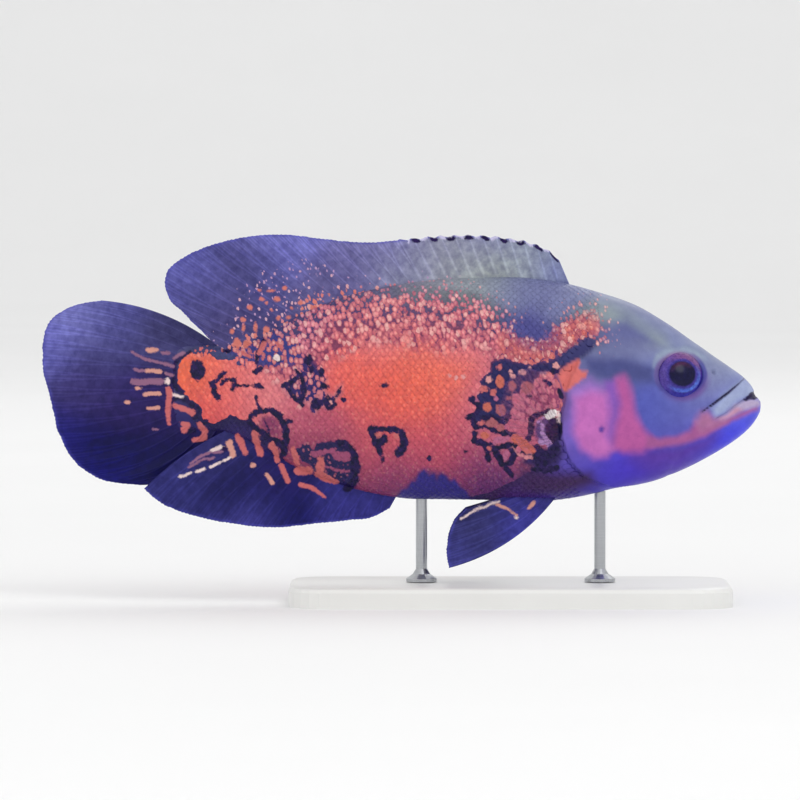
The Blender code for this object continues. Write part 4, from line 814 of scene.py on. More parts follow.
def make_skin(look):
    """The fish's whole skin: superelliptic rings from snout to tail, pushed in or out by relief."""
    s = np.concatenate([np.linspace(0.1, 7, 26, endpoint=False), np.linspace(7, 84, 196, endpoint=False),
                        np.linspace(84, BODY_END, 150)])
    around = 232
    angle = np.linspace(0, 2 * np.pi, around, endpoint=False)
    y, h = section(s[:, None], angle[None, :])
    s = np.broadcast_to(s[:, None], y.shape)
    grid = np.stack([s, y, h], axis=-1)
    along = np.gradient(grid, axis=0)
    across = np.roll(grid, -1, axis=1) - np.roll(grid, 1, axis=1)
    normal = np.cross(across, along)
    normal /= np.maximum(np.linalg.norm(normal, axis=2, keepdims=True), 1e-9)
    if normal[100, around // 4, 1] < 0:
        normal = -normal
    push = relief(s, h)
    grid = grid + normal * push[..., None]
    caps = []
    for ring, shares in ((grid[0], (0.7, 0.35)), (grid[-1], (0.6, 0.2))):
        centre = ring.mean(axis=0)
        caps.append([centre + (ring - centre) * share for share in shares])
    rings = np.concatenate([np.array(caps[0][::-1]), grid, np.array(caps[1])])
    paint = body_paint(rings[..., 0], rings[..., 2], np.sign(rings[..., 1]))
    paint["ink"] = np.maximum(paint["ink"], recess_shade_lines(rings[..., 0], rings[..., 2]))
    for key in ("tint", "gap"):
        paint[key] = orbit(paint[key], rings[..., 0], rings[..., 2])
    rows = len(rings)
    points = np.concatenate([rings.reshape(-1, 3), [grid[0].mean(axis=0), grid[-1].mean(axis=0)]])
    points[:, 1] += bend(points[:, 0])
    first, last, top = rows * around, rows * around + 1, (rows - 1) * around
    ids = np.arange(around)
    fans = np.concatenate([np.stack([np.full(around, first), np.roll(ids, -1), ids], 1),
                           np.stack([np.full(around, last), top + ids, top + np.roll(ids, -1)], 1)])
    fields = {}
    for key, value in paint.items():
        flat = value.reshape(rows * around, -1)
        flat = np.concatenate([flat, flat[:1], flat[-1:]])
        fields[key] = flat if key in COLOURS else flat[:, 0]
    skin = make_piece("skin", points, sheet_faces(rows, around, wrap=True), fans, fields, None, look,
                      "flank_skin")
    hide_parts("head", "upper_lip", "lower_jaw", "gill_cover_right", "gill_cover_left", "trunk",
                "tail_stem")
    return skin


def orbit(tint, s, h):
    """The coloured fold of skin round the eye: mauve behind and above it, indigo in front, and a rosy
    shadow below."""
    x, z = (s - EYE_PLACE[0]) / EYE_WIDER, (h - EYE_PLACE[1]) / EYE_LOWER
    r = np.hypot(x, z) + 0.15 * noise(s, h, 1.5, 43)
    angle = np.degrees(np.arctan2(z, x))
    band = smooth(7.0, 7.5, r) * (1 - smooth(8.8, 10.0, r))
    for code, way, spread, share in (("#3c3c96", 180, 0.7, 0.9), ("#9a78a8", 60, 1.0, 0.9),
                                     ("#54488e", -10, 1.2, 0.8), ("#322c8c", -110, 1.0, 0.9)):
        tint = mix(tint, linear(code), share * band * np.cos(np.radians(angle - way)).clip(0, 1) ** spread)
    below = np.cos(np.radians(angle + 118)).clip(0, 1) ** 2 * smooth(8.2, 9.2, r)
    return mix(tint, linear("#6c4c98"), 0.8 * below * (1 - smooth(9.8, 12.0, r)))


def recess_shade_lines(s, h):
    """Distance into the dark lines of the head, painted shade in the mouth, the upper lip's slot and the
    nostril."""
    # The mouth's slit, the upper lip's slot and the nostril's pit are painted dark: painted shade in these
    # recesses.
    d, t = distance(s, h, MOUTH_LINE)
    ink = -0.35 + 1.7 * (1 - smooth(0.0, 0.36, t)) - d
    d, t = distance(s, h, LIP_GROOVE)
    ink = np.maximum(ink, 0.08 + 0.42 * smooth(0.05, 0.6, t) * (1 - 0.5 * smooth(0.8, 1.0, t)) - d)
    ink = np.maximum(ink, 0.1 - np.hypot(s - NOSTRIL_PLACE[0], h - NOSTRIL_PLACE[1]))
    return ink


# ---- scales
SCALE_PITCH = 3.1
ROW_PITCH = 1.66
SCALE_START = [(66.0, -39.0), (70.5, -28.0), (75.5, -21.0), (79.0, -11.0), (78.8, 4.0), (74.0, 17.5),
               (66.0, 24.5), (61.0, 34.0), (59.0, 52.0)]


def lie_tables():
    """y and h of the right half's skin by s and by the distance a along the section, up from mid flank."""
    s = np.linspace(56, BODY_END - 0.5, 180)
    angle = np.linspace(0, np.pi, 721)
    a = np.arange(-64.0, 64.01, 0.5)
    ys, hs, tops, feet = [], [], [], []
    for station in s:
        y, h = section(np.full(angle.shape, station), angle)
        run = np.concatenate(([0.0], np.cumsum(np.hypot(np.diff(y), np.diff(h)))))
        up = np.interp(np.pi / 2, angle, run) - run
        ys.append(np.interp(a, up[::-1], y[::-1]))
        hs.append(np.interp(a, up[::-1], h[::-1]))
        tops.append(up[0])
        feet.append(up[-1])
    return s, a, np.array(ys), np.array(hs), np.array(tops), np.array(feet)


def make_scales(name, way, look):
    """Overlapping scales on one flank.

    They stand in a brick pattern of rows along the body. Each is a shield whose width follows a
    superellipse along q, from its sunk root to its free tip, and p runs across it. Its top is crowned
    and rises towards the tip, so that it lies on the roots of the next ones, and its underside closes
    in one point below the skin.
    """
    s_table, a_table, y_table, h_table, tops, feet = lie_tables()
    rng = np.random.default_rng(11 if way < 0 else 12)
    rows, count = np.arange(-38, 39), 66
    i, j = np.meshgrid(np.arange(count), rows, indexing="ij")
    x = i + 0.5 * (j % 2)
    s0 = 57.0 + SCALE_PITCH * x * (1 - 0.0020 * x)
    pitch = SCALE_PITCH * (1 - 0.0040 * x)
    s0 = s0 + rng.uniform(-0.22, 0.22, s0.shape)
    a0 = j * ROW_PITCH + rng.uniform(-0.14, 0.14, s0.shape)
    top, foot = np.interp(s0, s_table, tops), np.interp(s0, s_table, feet)

    def read(table, s, a):
        u = np.clip((s - s_table[0]) / (s_table[1] - s_table[0]), 0, len(s_table) - 1.001)
        w = np.clip((a - a_table[0]) / 0.5, 0, len(a_table) - 1.001)
        m, n = np.floor(u).astype(int), np.floor(w).astype(int)
        u, w = u - m, w - n
        return ((table[m, n] * (1 - w) + table[m, n + 1] * w) * (1 - u)
                + (table[m + 1, n] * (1 - w) + table[m + 1, n + 1] * w) * u)

    start = np.interp(read(h_table, s0, a0), [p[1] for p in SCALE_START], [p[0] for p in SCALE_START])
    keep = (s0 > start + 0.6) & (s0 < BODY_END - 9) & (a0 < top - 1.6) & (a0 > foot + 1.6)
    s0, a0, pitch = s0[keep], a0[keep], pitch[keep]
    n = len(s0)
    q = np.linspace(0.03, 0.985, 7)[None, :, None]
    p = np.linspace(-1, 1, 5)[None, None, :]
    wide = ROW_PITCH * 1.1 * (1 - np.abs(2 * q - 0.96).clip(0, 1) ** 2.4) ** (1 / 2.2)
    s = s0[:, None, None] + (q - 0.40) * 1.5 * pitch[:, None, None] - 0.4 * q * p ** 2
    a = a0[:, None, None] + p * wide + 0 * q
    s = np.broadcast_to(s, a.shape)
    lift = (-0.13 + 0.30 * q - 0.13 * p ** 2) * smooth(0, 5, s0 - 60)[:, None, None]
    lift = np.broadcast_to(lift, a.shape)

    def skin(s, a, lift):
        y, h = read(y_table, s, a), read(h_table, s, a)
        step = 0.6
        ds = np.stack([np.full(s.shape, 2 * step), read(y_table, s + step, a) - read(y_table, s - step, a),
                       read(h_table, s + step, a) - read(h_table, s - step, a)], -1)
        da = np.stack([np.zeros(s.shape), read(y_table, s, a + step) - read(y_table, s, a - step),
                       read(h_table, s, a + step) - read(h_table, s, a - step)], -1)
        out = np.cross(da, ds)
        out /= np.maximum(np.linalg.norm(out, axis=-1, keepdims=True), 1e-9)
        out *= np.where(out[..., 1:2] < 0, -1.0, 1.0)
        return np.stack([s, y, h], -1) + out * lift[..., None]

    tops_xyz = skin(s, a, lift).reshape(n, 35, 3)
    foot_xyz = skin(s0, a0, np.full(n, -0.5))[:, None]
    points = np.concatenate([tops_xyz, foot_xyz], axis=1)
    flat_s, flat_h = points[..., 0].copy(), points[..., 2].copy()
    points[..., 1] = way * points[..., 1] + bend(flat_s)
    middle_s, middle_h = points[:, 22, 0], points[:, 22, 2]
    dice = rng.uniform(-0.5, 0.5, n)
    each = np.ones(36)
    spread = (middle_s[:, None] * each, middle_h[:, None] * each)
    paint = body_paint(flat_s, flat_h, np.full(flat_s.shape, way), spread, dice[:, None] * each)
    wide_mm = np.broadcast_to(wide * (1 - np.abs(p)), (1, 7, 5)).reshape(1, 35)
    rear_mm = np.broadcast_to((1 - q) * 1.5 * SCALE_PITCH, (1, 7, 5)).reshape(1, 35)
    edge = np.minimum(wide_mm, rear_mm) * 0.75
    edge = np.concatenate([np.broadcast_to(edge, (n, 35)), np.zeros((n, 1))], axis=1)
    paint["edge"] = edge
    paint["dice"] = dice[:, None] * each
    grid = sheet_faces(7, 5)
    number = np.arange(35).reshape(7, 5)
    rim = np.concatenate([number[0, :-1], number[:-1, -1], number[-1, :0:-1], number[:0:-1, 0]])
    fan = np.stack([np.roll(rim, -1), rim, np.full(len(rim), 35)], 1)
    start_at = 36 * np.arange(n)[:, None, None]
    quads = (grid[None] + start_at).reshape(-1, 4)
    fans = (fan[None] + start_at).reshape(-1, 3)
    root = np.stack([s0 / 240, 0.5 + 0.25 * way + a0 / 300], -1)
    local = np.concatenate([np.stack(np.broadcast_arrays(q[0], p[0] * 0.5 + 0.5), -1).reshape(35, 2),
                            [[0.4, 0.5]]])
    uv = (root[:, None] + 0.003 * local[None]).reshape(-1, 2)
    fields = {key: value.reshape(n * 36, 3) if key in COLOURS else value.reshape(-1)
              for key, value in paint.items()}
    return make_piece(name, points.reshape(-1, 3), quads, fans, fields, uv, look, "flank_skin")


# ---- fins
def ray_relief(q, v, gap, hard):
    """Height from 0 to 1 of the rays at ray number q and share v of the way out.

    A hard spine is one tapering ridge. A soft ray forks at a third of its length and again near the
    margin, and each branch is a bump across it; gap is the distance between two rays there in mm.
    """
    f = q - np.round(q)
    fork, twig = 0.21 * smooth(0.30, 0.95, v), 0.10 * smooth(0.62, 1.0, v)
    width = 0.34 - 0.08 * v
    best = np.zeros(np.broadcast(q, v).shape)
    for a in (-1, 1):
        for b in (-1, 1):
            d = np.abs(f - a * fork - b * twig) * gap
            best = np.maximum(best, np.exp(-(d / width) ** 2))
    spine = np.exp(-(f * gap / (0.62 - 0.35 * v)) ** 2)
    return np.where(hard, spine, best)


def reach_out(q, v, length, hard, seed):
    """Share of the way out at v: the margin is drawn in between rays and frayed at its very edge."""
    f = np.abs(q - np.round(q))
    fray = 0.45 * noise(q * 1.3, 0 * q, 1.0, seed) + 0.14 * noise(q * 8, 0 * q, 1.0, seed + 1)
    drawn_in = np.where(hard, 0.7 * smooth(0.0, 0.5, f), 0.22 * np.abs(np.sin(4 * np.pi * f)))
    return v * (1 - (drawn_in + np.abs(fray)) / length * v ** 2)


def straight(u, v, s, root_s):
    """The middle plane, for fins that bend with the body."""
    return 0 * s


def trailing(u, v, s, root_s):
    """Rear lobes keep the way their roots point and stand a little to -Y of the bent tail."""
    slope = 2 * BEND_REACH * np.clip(root_s - BEND_START, 0, None) / (LENGTH - BEND_START) ** 2
    lobe = bend(root_s) + 0.5 * slope * (s - root_s) - LOBE_SPLAY * u ** 2 * np.sqrt(v)
    return lobe - bend(s)


def upright_band(first, rays, root, tip, rows, side, columns, bow=(0.0, 0.0), hard=False, seed=1):
    """Rays first, first + 1 and so on of a fin in the middle plane.

    A point lies on the line from the root curve to the tip curve at u, bowed across it by the share
    bow (1 - u, u) times 4v(1 - v), and side gives its distance from the plane.
    """
    u = np.linspace(0, 1, (rays - 1) * columns + 1)
    v = np.linspace(0, 1, rows)[:, None]
    q = first + u * (rays - 1)
    start, end = curve(root, u), curve(tip, u)
    along = end - start
    length = np.linalg.norm(along, axis=1)
    across = np.stack([-along[:, 1], along[:, 0]], axis=1) / length[:, None]
    bowed = (bow[0] + (bow[1] - bow[0]) * u) * 4 * v * (1 - v)
    flat = start + along * reach_out(q[None], v, length, hard, seed)[..., None] + across * bowed[..., None]
    y = side(u[None], v, flat[..., 0], start[None, :, 0]) + bend(flat[..., 0])
    return q, length, np.full(len(q), hard), np.stack([flat[..., 0], y, flat[..., 1]], axis=-1)


def paired_band(rays, root, tip, rows, columns, cup=0.0, bow=0.0, seed=1):
    """The rays of a pectoral or pelvic fin, cupped sideways and with its first rays bowed forwards."""
    u = np.linspace(0, 1, (rays - 1) * columns + 1)
    v = np.linspace(0, 1, rows)[:, None]
    q = u * (rays - 1)
    start, end = curve(root, u), curve(tip, u)
    length = np.linalg.norm(end - start, axis=1)
    surface = start + (end - start) * reach_out(q[None], v, length, False, seed)[..., None]
    arch = 4 * v * (1 - v)
    surface[..., 1] += cup * arch * np.sin(np.pi * u)
    surface[..., 0] -= bow * 0.55 * arch * (1 - u) ** 1.5
    surface[..., 2] -= bow * 0.84 * arch * (1 - u) ** 1.5
    surface[..., 1] += bend(surface[..., 0])
    return q, length, np.full(len(q), False), surface


def make_fin(name, bands, tones, look, slot, nodes, sheath=1.7, ray_height=0.36, wave=0.3, lappets=(),
             ray_shine=0.32, seed=1):
    """A fin from bands of rays side by side, as two skins about its middle surface.

    Half the thickness is the membrane's, plus the ray's bump, plus a fleshy sheath at the root. The
    membrane waves a little between its rays. lappets are the places s of dark spots along the margin.
    """
    q, length, hard = (np.concatenate([band[i] for band in bands]) for i in range(3))
    mid = np.concatenate([band[3] for band in bands], axis=1)
    rows, columns = mid.shape[:2]
    v = np.linspace(0, 1, rows)[:, None]
    u = np.linspace(0, 1, columns)
    f = q - np.round(q)
    gap = np.linalg.norm(np.gradient(mid, axis=1), axis=2) / np.gradient(q)
    rays = ray_relief(q[None], v, gap, hard[None])
    normal = facing(mid)
    lumps = noise(q[None] * 1.7 + 0 * v, 9 * v + 0 * q[None], 3.0, seed + 2)
    ripple = wave * v * (np.sin(np.pi * q[None] + 2.5 * v) * ~hard + 0.8 * lumps)
    mid = mid + normal * ripple[..., None]
    fleshy = 0.5 * sheath * (1 - v) ** 4 * (1 - 0.75 * np.abs(2 * u - 1) ** 4)
    joints = 1 - 0.3 * (~hard) * (np.sin(2 * np.pi * v * length / 1.15) > 0.75)
    half = MEMBRANE_HALF * (1 - 0.45 * v) + ray_height * rays * (1 - 0.62 * v) * joints + fleshy
    count = rows * columns
    points = np.concatenate([(mid + way * normal * half[..., None]).reshape(-1, 3) for way in (1, -1)])
    front = sheet_faces(rows, columns)
    number = np.arange(count).reshape(rows, columns)
    rim = np.concatenate([number[0, :-1], number[:-1, -1], number[-1, :0:-1], number[:0:-1, 0]])
    nxt = np.roll(rim, -1)
    edges = np.stack([nxt, rim, rim + count, nxt + count], 1)
    s, h = mid[..., 0], mid[..., 2]
    s2, h2 = shifted(s, h, -1)
    tint = blended(tones, s, h, reach=8.0)
    streak = noise(q[None] * 2.2 + 0 * v, 6 * v + 0 * q[None], 1.6, seed + 5)
    pale = ray_shine * (0.35 + 0.65 * smooth(0.05, 0.4, v))
    shade = (1 + pale * (rays - 0.2)) * (1 + 0.12 * streak)
    tint = np.maximum(tint * shade[..., None] - 0.009, 0.25 * tint)
    # Painted rim light: a blue band along the fin's margin, blue light caught on its edge.
    rim = smooth(1.4, 0.3, (1 - v) * length + 0.5 * np.abs(f) + 0 * tint[..., 0])
    tint = mix(tint, linear("#5656c4"), 0.6 * rim)
    ink, bright, hue = marks(s2, h2)
    if slot == "clear_fin":
        ink, bright = ink * 0 - 9, bright * 0 - 9
    to_margin = (1 - v) * length
    if lappets:
        aside = np.abs(s[-1][None, :, None] - np.array(lappets)).min(axis=-1)
        ink = np.maximum(ink, 1.25 - np.hypot(aside * 0.72, (to_margin - 1.0) * 1.1))
        fleck = 0.5 - 0.5 * to_margin + 0.35 * noise(s, h, 1.6, 77) - 0.6 * (aside < 2.0)
        fleck = np.where(s < lappets[-1] + 3, fleck, -9.0)
        hue = np.where((fleck > bright)[..., None], linear("#c8c4e2"), hue)
        bright = np.maximum(bright, fleck)
    bead = bead_cover(s2, h2)[0] if lappets else np.full(s.shape, -9.0)
    paint = {"tint": tint, "hue": hue, "ink": ink, "bright": bright, "ray": rays, "bead": bead}
    fields = {key: np.tile(value.reshape(count, -1), (2, 1)) for key, value in paint.items()}
    fields = {key: value if key in COLOURS else value[:, 0] for key, value in fields.items()}
    piece = make_piece(name, points, np.concatenate([front, front[:, ::-1] + count, edges]), (), fields,
                       None, look, slot)
    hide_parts(*nodes)
    return piece


def make_upright_fins(look):
    """Dorsal fin with its hard and soft parts in one, anal fin and tail fin."""
    dorsal = [upright_band(0, SPINES, SPINY_ROOT, SPINY_TIP, 54, straight, 13, hard=True, seed=21),
              upright_band(SPINES - 0.999, 20, SOFT_ROOT, SOFT_TIP, 54, trailing, 19, (0, -1.5), seed=21)]
    make_fin("dorsal_fin", dorsal, DORSAL_TONES, look, "fin_membrane",
             ["dorsal_fin_spiny", "dorsal_fin_soft"], lappets=MARGIN_SPOTS, seed=31)
    anal = [upright_band(0, 18, ANAL_ROOT, ANAL_TIP, 46, trailing, 18, (0, 2.0), seed=22)]
    make_fin("anal_fin_rays", anal, ANAL_TONES, look, "fin_membrane", ["anal_fin"], seed=32)
    caudal = [upright_band(0, 18, CAUDAL_ROOT, CAUDAL_TIP, 62, straight, 20, (4.2, -6.4), seed=23)]
    make_fin("tail_fin_rays", caudal, CAUDAL_TONES, look, "fin_membrane", ["caudal_fin"], sheath=2.6,
             seed=33)


def make_paired_fins(look, clear_look):
    """Pectoral fins, which stand out behind the gill covers, and pelvic fins under the breast."""
    for way, side in ((-1, "right"), (1, "left")):
        root = curve(PECTORAL_ROOT, np.linspace(0, 1, 3))
        root_y = flank(root[:, 0], root[:, 1])
        root = np.stack([root[:, 0], way * (root_y - 0.8), root[:, 1]], axis=1)
        tip = np.array(PECTORAL_TIP)
        tip = np.stack([tip[:, 0], way * (root_y[1] + np.array(PECTORAL_REACH)), tip[:, 1]], axis=1)
        band = paired_band(12, root, tip, 46, 16, cup=way * 1.5, seed=24)
        make_fin(f"pectoral_rays_{side}", [band], PECTORAL_TONES, clear_look, "clear_fin",
                 [f"pectoral_fin_{side}"], sheath=2.2, ray_height=0.26, wave=0.5, seed=34)
        root, tip = np.array(PELVIC_ROOT), np.array(PELVIC_TIP)
        root = np.stack([root[:, 0], np.full(3, way * PELVIC_SPREAD[0]), root[:, 1]], axis=1)
        spread = way * np.linspace(PELVIC_SPREAD[1], PELVIC_SPREAD[0] + 2.0, len(tip))
        tip = np.stack([tip[:, 0], spread, tip[:, 1]], axis=1)
        band = paired_band(6, root, tip, 50, 22, cup=way * 1.0, bow=PELVIC_BOW, seed=25)
        make_fin(f"pelvic_rays_{side}", [band], PELVIC_TONES, look, "fin_membrane",
                 [f"pelvic_fin_{side}"], sheath=1.9, wave=0.25, seed=35)


# ---- eyes
def make_eye(name, way, look):
    """An eyeball as a flattened ball, radius 10 by dome 7, its axis straight out of the head.

    Its colours follow the distance from the pupil's middle and the angle a about it, which runs from
    the tail's side over the top: a dark pupil, a narrow copper ring, the iris and its blue crescent,
    a painted highlight of blue light on the eye's lower front.
    """
    s, h = (np.array(value) for value in EYE_PLACE)
    step = 0.4
    out = np.array([-(flank(s + step, h) - flank(s - step, h)) / (2 * step), 1.0,
                    -(flank(s, h + step) - flank(s, h - step)) / (2 * step)])
    out /= np.linalg.norm(out)
    centre = np.array([s, flank(s, h), h]) - out * EYE_SUNK
    up = np.array([0.0, 0.0, 1.0]) - out * out[2]
    up /= np.linalg.norm(up)
    rear = np.cross(up, out) * -1
    turns = np.linspace(0.0, np.pi, 74)[1:-1, None]
    a = np.linspace(0, 2 * np.pi, 96, endpoint=False)[None]
    radius, height = EYE_RADIUS * np.sin(turns), EYE_DOME * np.cos(turns) * np.ones(a.shape)
    x, z = radius * np.cos(a), radius * np.sin(a)
    ball = centre + x[..., None] * rear + z[..., None] * up + height[..., None] * out
    poles = np.array([centre + out * EYE_DOME, centre - out * EYE_DOME])
    points = np.concatenate([ball.reshape(-1, 3), poles])
    points[:, 1] *= way
    r = np.hypot(x / 1.06, z / 0.97)
    angle = np.degrees(np.arctan2(z, x))
    wobble = 0.18 * noise(x, z, 1.1, 41)
    tint = np.broadcast_to(linear("#40389c"), (*r.shape, 3))
    rear_band = np.cos(np.radians(angle - 20)).clip(0, 1) ** 0.7
    tint = mix(tint, linear("#5e48a4"), rear_band * smooth(5.2, 6.4, r))
    rosy = np.cos(np.radians(angle - 118)).clip(0, 1) ** 1.5
    tint = mix(tint, linear("#8c5490"), 0.9 * rosy * smooth(5.8, 6.8, r + wobble))
    # Painted highlight: a crescent of blue light on the eye's lower front, bright over the iris and deeper
    # blue beyond it.
    crescent = np.cos(np.radians(angle + 122)).clip(0, 1) ** 0.9
    tint = mix(tint, linear("#5a7ce4"), crescent * smooth(5.9, 6.5, r + wobble) * (1 - smooth(7.1, 7.6, r)))
    tint = mix(tint, linear("#2e28a4"), crescent * smooth(7.3, 7.9, r + wobble))
    copper = np.exp(-((r - 5.2) / 0.28) ** 2)
    tint = mix(tint, linear("#4c3084"), 0.4 * copper)
    tint = mix(tint, linear("#100e40"), 1 - smooth(4.7, 5.4, r + 0.4 * wobble))
    maroon = np.cos(np.radians(angle - 80)).clip(0, 1) ** 2 * smooth(2.4, 4.2, r) * (1 - smooth(4.6, 5.0, r))
    tint = mix(tint, linear("#5a1c50"), 0.75 * maroon)
    rows, columns = r.shape
    count = rows * columns
    ids = np.arange(columns)
    last = (rows - 1) * columns
    fans = np.concatenate([np.stack([np.full(columns, count), np.roll(ids, -1), ids], 1),
                           np.stack([np.full(columns, count + 1), last + ids, last + np.roll(ids, -1)], 1)])
    tint = np.concatenate([tint.reshape(-1, 3), [linear("#100d36"), linear("#201a5c")]])
    eye = make_piece(name, points, sheet_faces(rows, columns, wrap=True), fans, {"tint": tint}, None, look,
                     "eye")
    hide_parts(name.replace("eyeball", "eye"))
    return eye


# ---- finishes
def node(tree, kind, wires=(), **settings):
    """A node with its settings and inputs; an input is a value or the socket that feeds it."""
    made = tree.nodes.new(kind)
    for key, value in settings.items():
        setattr(made, key, value)
    for key, value in dict(wires).items():
        if isinstance(value, bpy.types.NodeSocket):
            tree.links.new(value, made.inputs[key])
        else:
            made.inputs[key].default_value = value
    return made


def ramp(tree, value, low, high):
    """0 below low, 1 above high, soft between."""
    return node(tree, "ShaderNodeMapRange", {"Value": value, "From Min": low, "From Max": high},
                interpolation_type="SMOOTHSTEP").outputs[0]


def sums(tree, operation, a, b, clamp=False):
    return node(tree, "ShaderNodeMath", {0: a, 1: b}, operation=operation, use_clamp=clamp).outputs[0]


def laid(tree, under, colour, share, how="MIX"):
    """A colour laid over another by a share."""
    made = tree.nodes.new("ShaderNodeMix")
    made.data_type, made.blend_type = "RGBA", how
    for index, value in ((0, share), (6, under), (7, colour)):
        if isinstance(value, bpy.types.NodeSocket):
            tree.links.new(value, made.inputs[index])
        else:
            made.inputs[index].default_value = value
    return made.outputs[2]


def field(tree, name):
    made = node(tree, "ShaderNodeAttribute", attribute_name=name)
    return made.outputs["Color" if name in COLOURS else "Fac"]


def grains(tree, scale, detail=3.0, rough=0.55, stretch=None):
    """Noise on Object coordinates; scale is lumps to a metre."""
    where = node(tree, "ShaderNodeTexCoord").outputs["Object"]
    if stretch:
        where = node(tree, "ShaderNodeMapping", {"Vector": where, "Scale": stretch}).outputs[0]
    return node(tree, "ShaderNodeTexNoise", {"Vector": where, "Scale": scale, "Detail": detail,
                                             "Roughness": rough}).outputs["Fac"]


def rgb(code):
    return (*linear(code), 1.0)


def start_look(name, sockets):
    material = bpy.data.materials.new(name)
    material.use_nodes = True
    tree = material.node_tree
    shader = tree.nodes["Principled BSDF"]
    for key, value in sockets.items():
        shader.inputs[key].default_value = value
    return material, tree, shader


def marked(tree, colour, fuzz):
    """The ground colour with its dark marks and over them the bright ones, their edges roughened."""
    ragged = sums(tree, "MULTIPLY", sums(tree, "SUBTRACT", grains(tree, 1100, 2.0), 0.5), 2.6 * fuzz)
    dark = ramp(tree, sums(tree, "ADD", field(tree, "ink"), ragged), -0.35, 0.35)
    dark_hue = laid(tree, rgb("#0b0734"), rgb("#230f4e"), ramp(tree, grains(tree, 500, 2.0), 0.35, 0.65))
    colour = laid(tree, colour, dark_hue, dark)
    bright = ramp(tree, sums(tree, "ADD", field(tree, "bright"), ragged), -0.4, 0.35)
    return laid(tree, colour, field(tree, "hue"), bright)


def strewn_beads(tree):
    """How deep a place lies in a strewn bead, the bead's random value and the way to its middle.

    The beads are cells of a Voronoi texture, taller than long; the attribute bead is their size.
    """
    where = node(tree, "ShaderNodeTexCoord").outputs["Object"]
    where = node(tree, "ShaderNodeMapping", {"Vector": where, "Rotation": (0.0, 0.25, 0.0)}).outputs[0]
    where = node(tree, "ShaderNodeMapping", {"Vector": where, "Scale": BEAD_SPACING}).outputs[0]
    cells = node(tree, "ShaderNodeTexVoronoi", {"Vector": where, "Scale": 1.0, "Randomness": 0.9})
    pick = node(tree, "ShaderNodeSeparateColor", {"Color": cells.outputs["Color"]}).outputs[0]
    jitter = sums(tree, "MULTIPLY", sums(tree, "SUBTRACT", grains(tree, 1100, 2.0), 0.5), 0.6)
    size = sums(tree, "ADD", field(tree, "bead"), jitter)
    size = sums(tree, "ADD", size, sums(tree, "MULTIPLY", sums(tree, "SUBTRACT", pick, 0.5), 0.12))
    return sums(tree, "SUBTRACT", size, cells.outputs["Distance"]), pick, cells.outputs["Distance"]


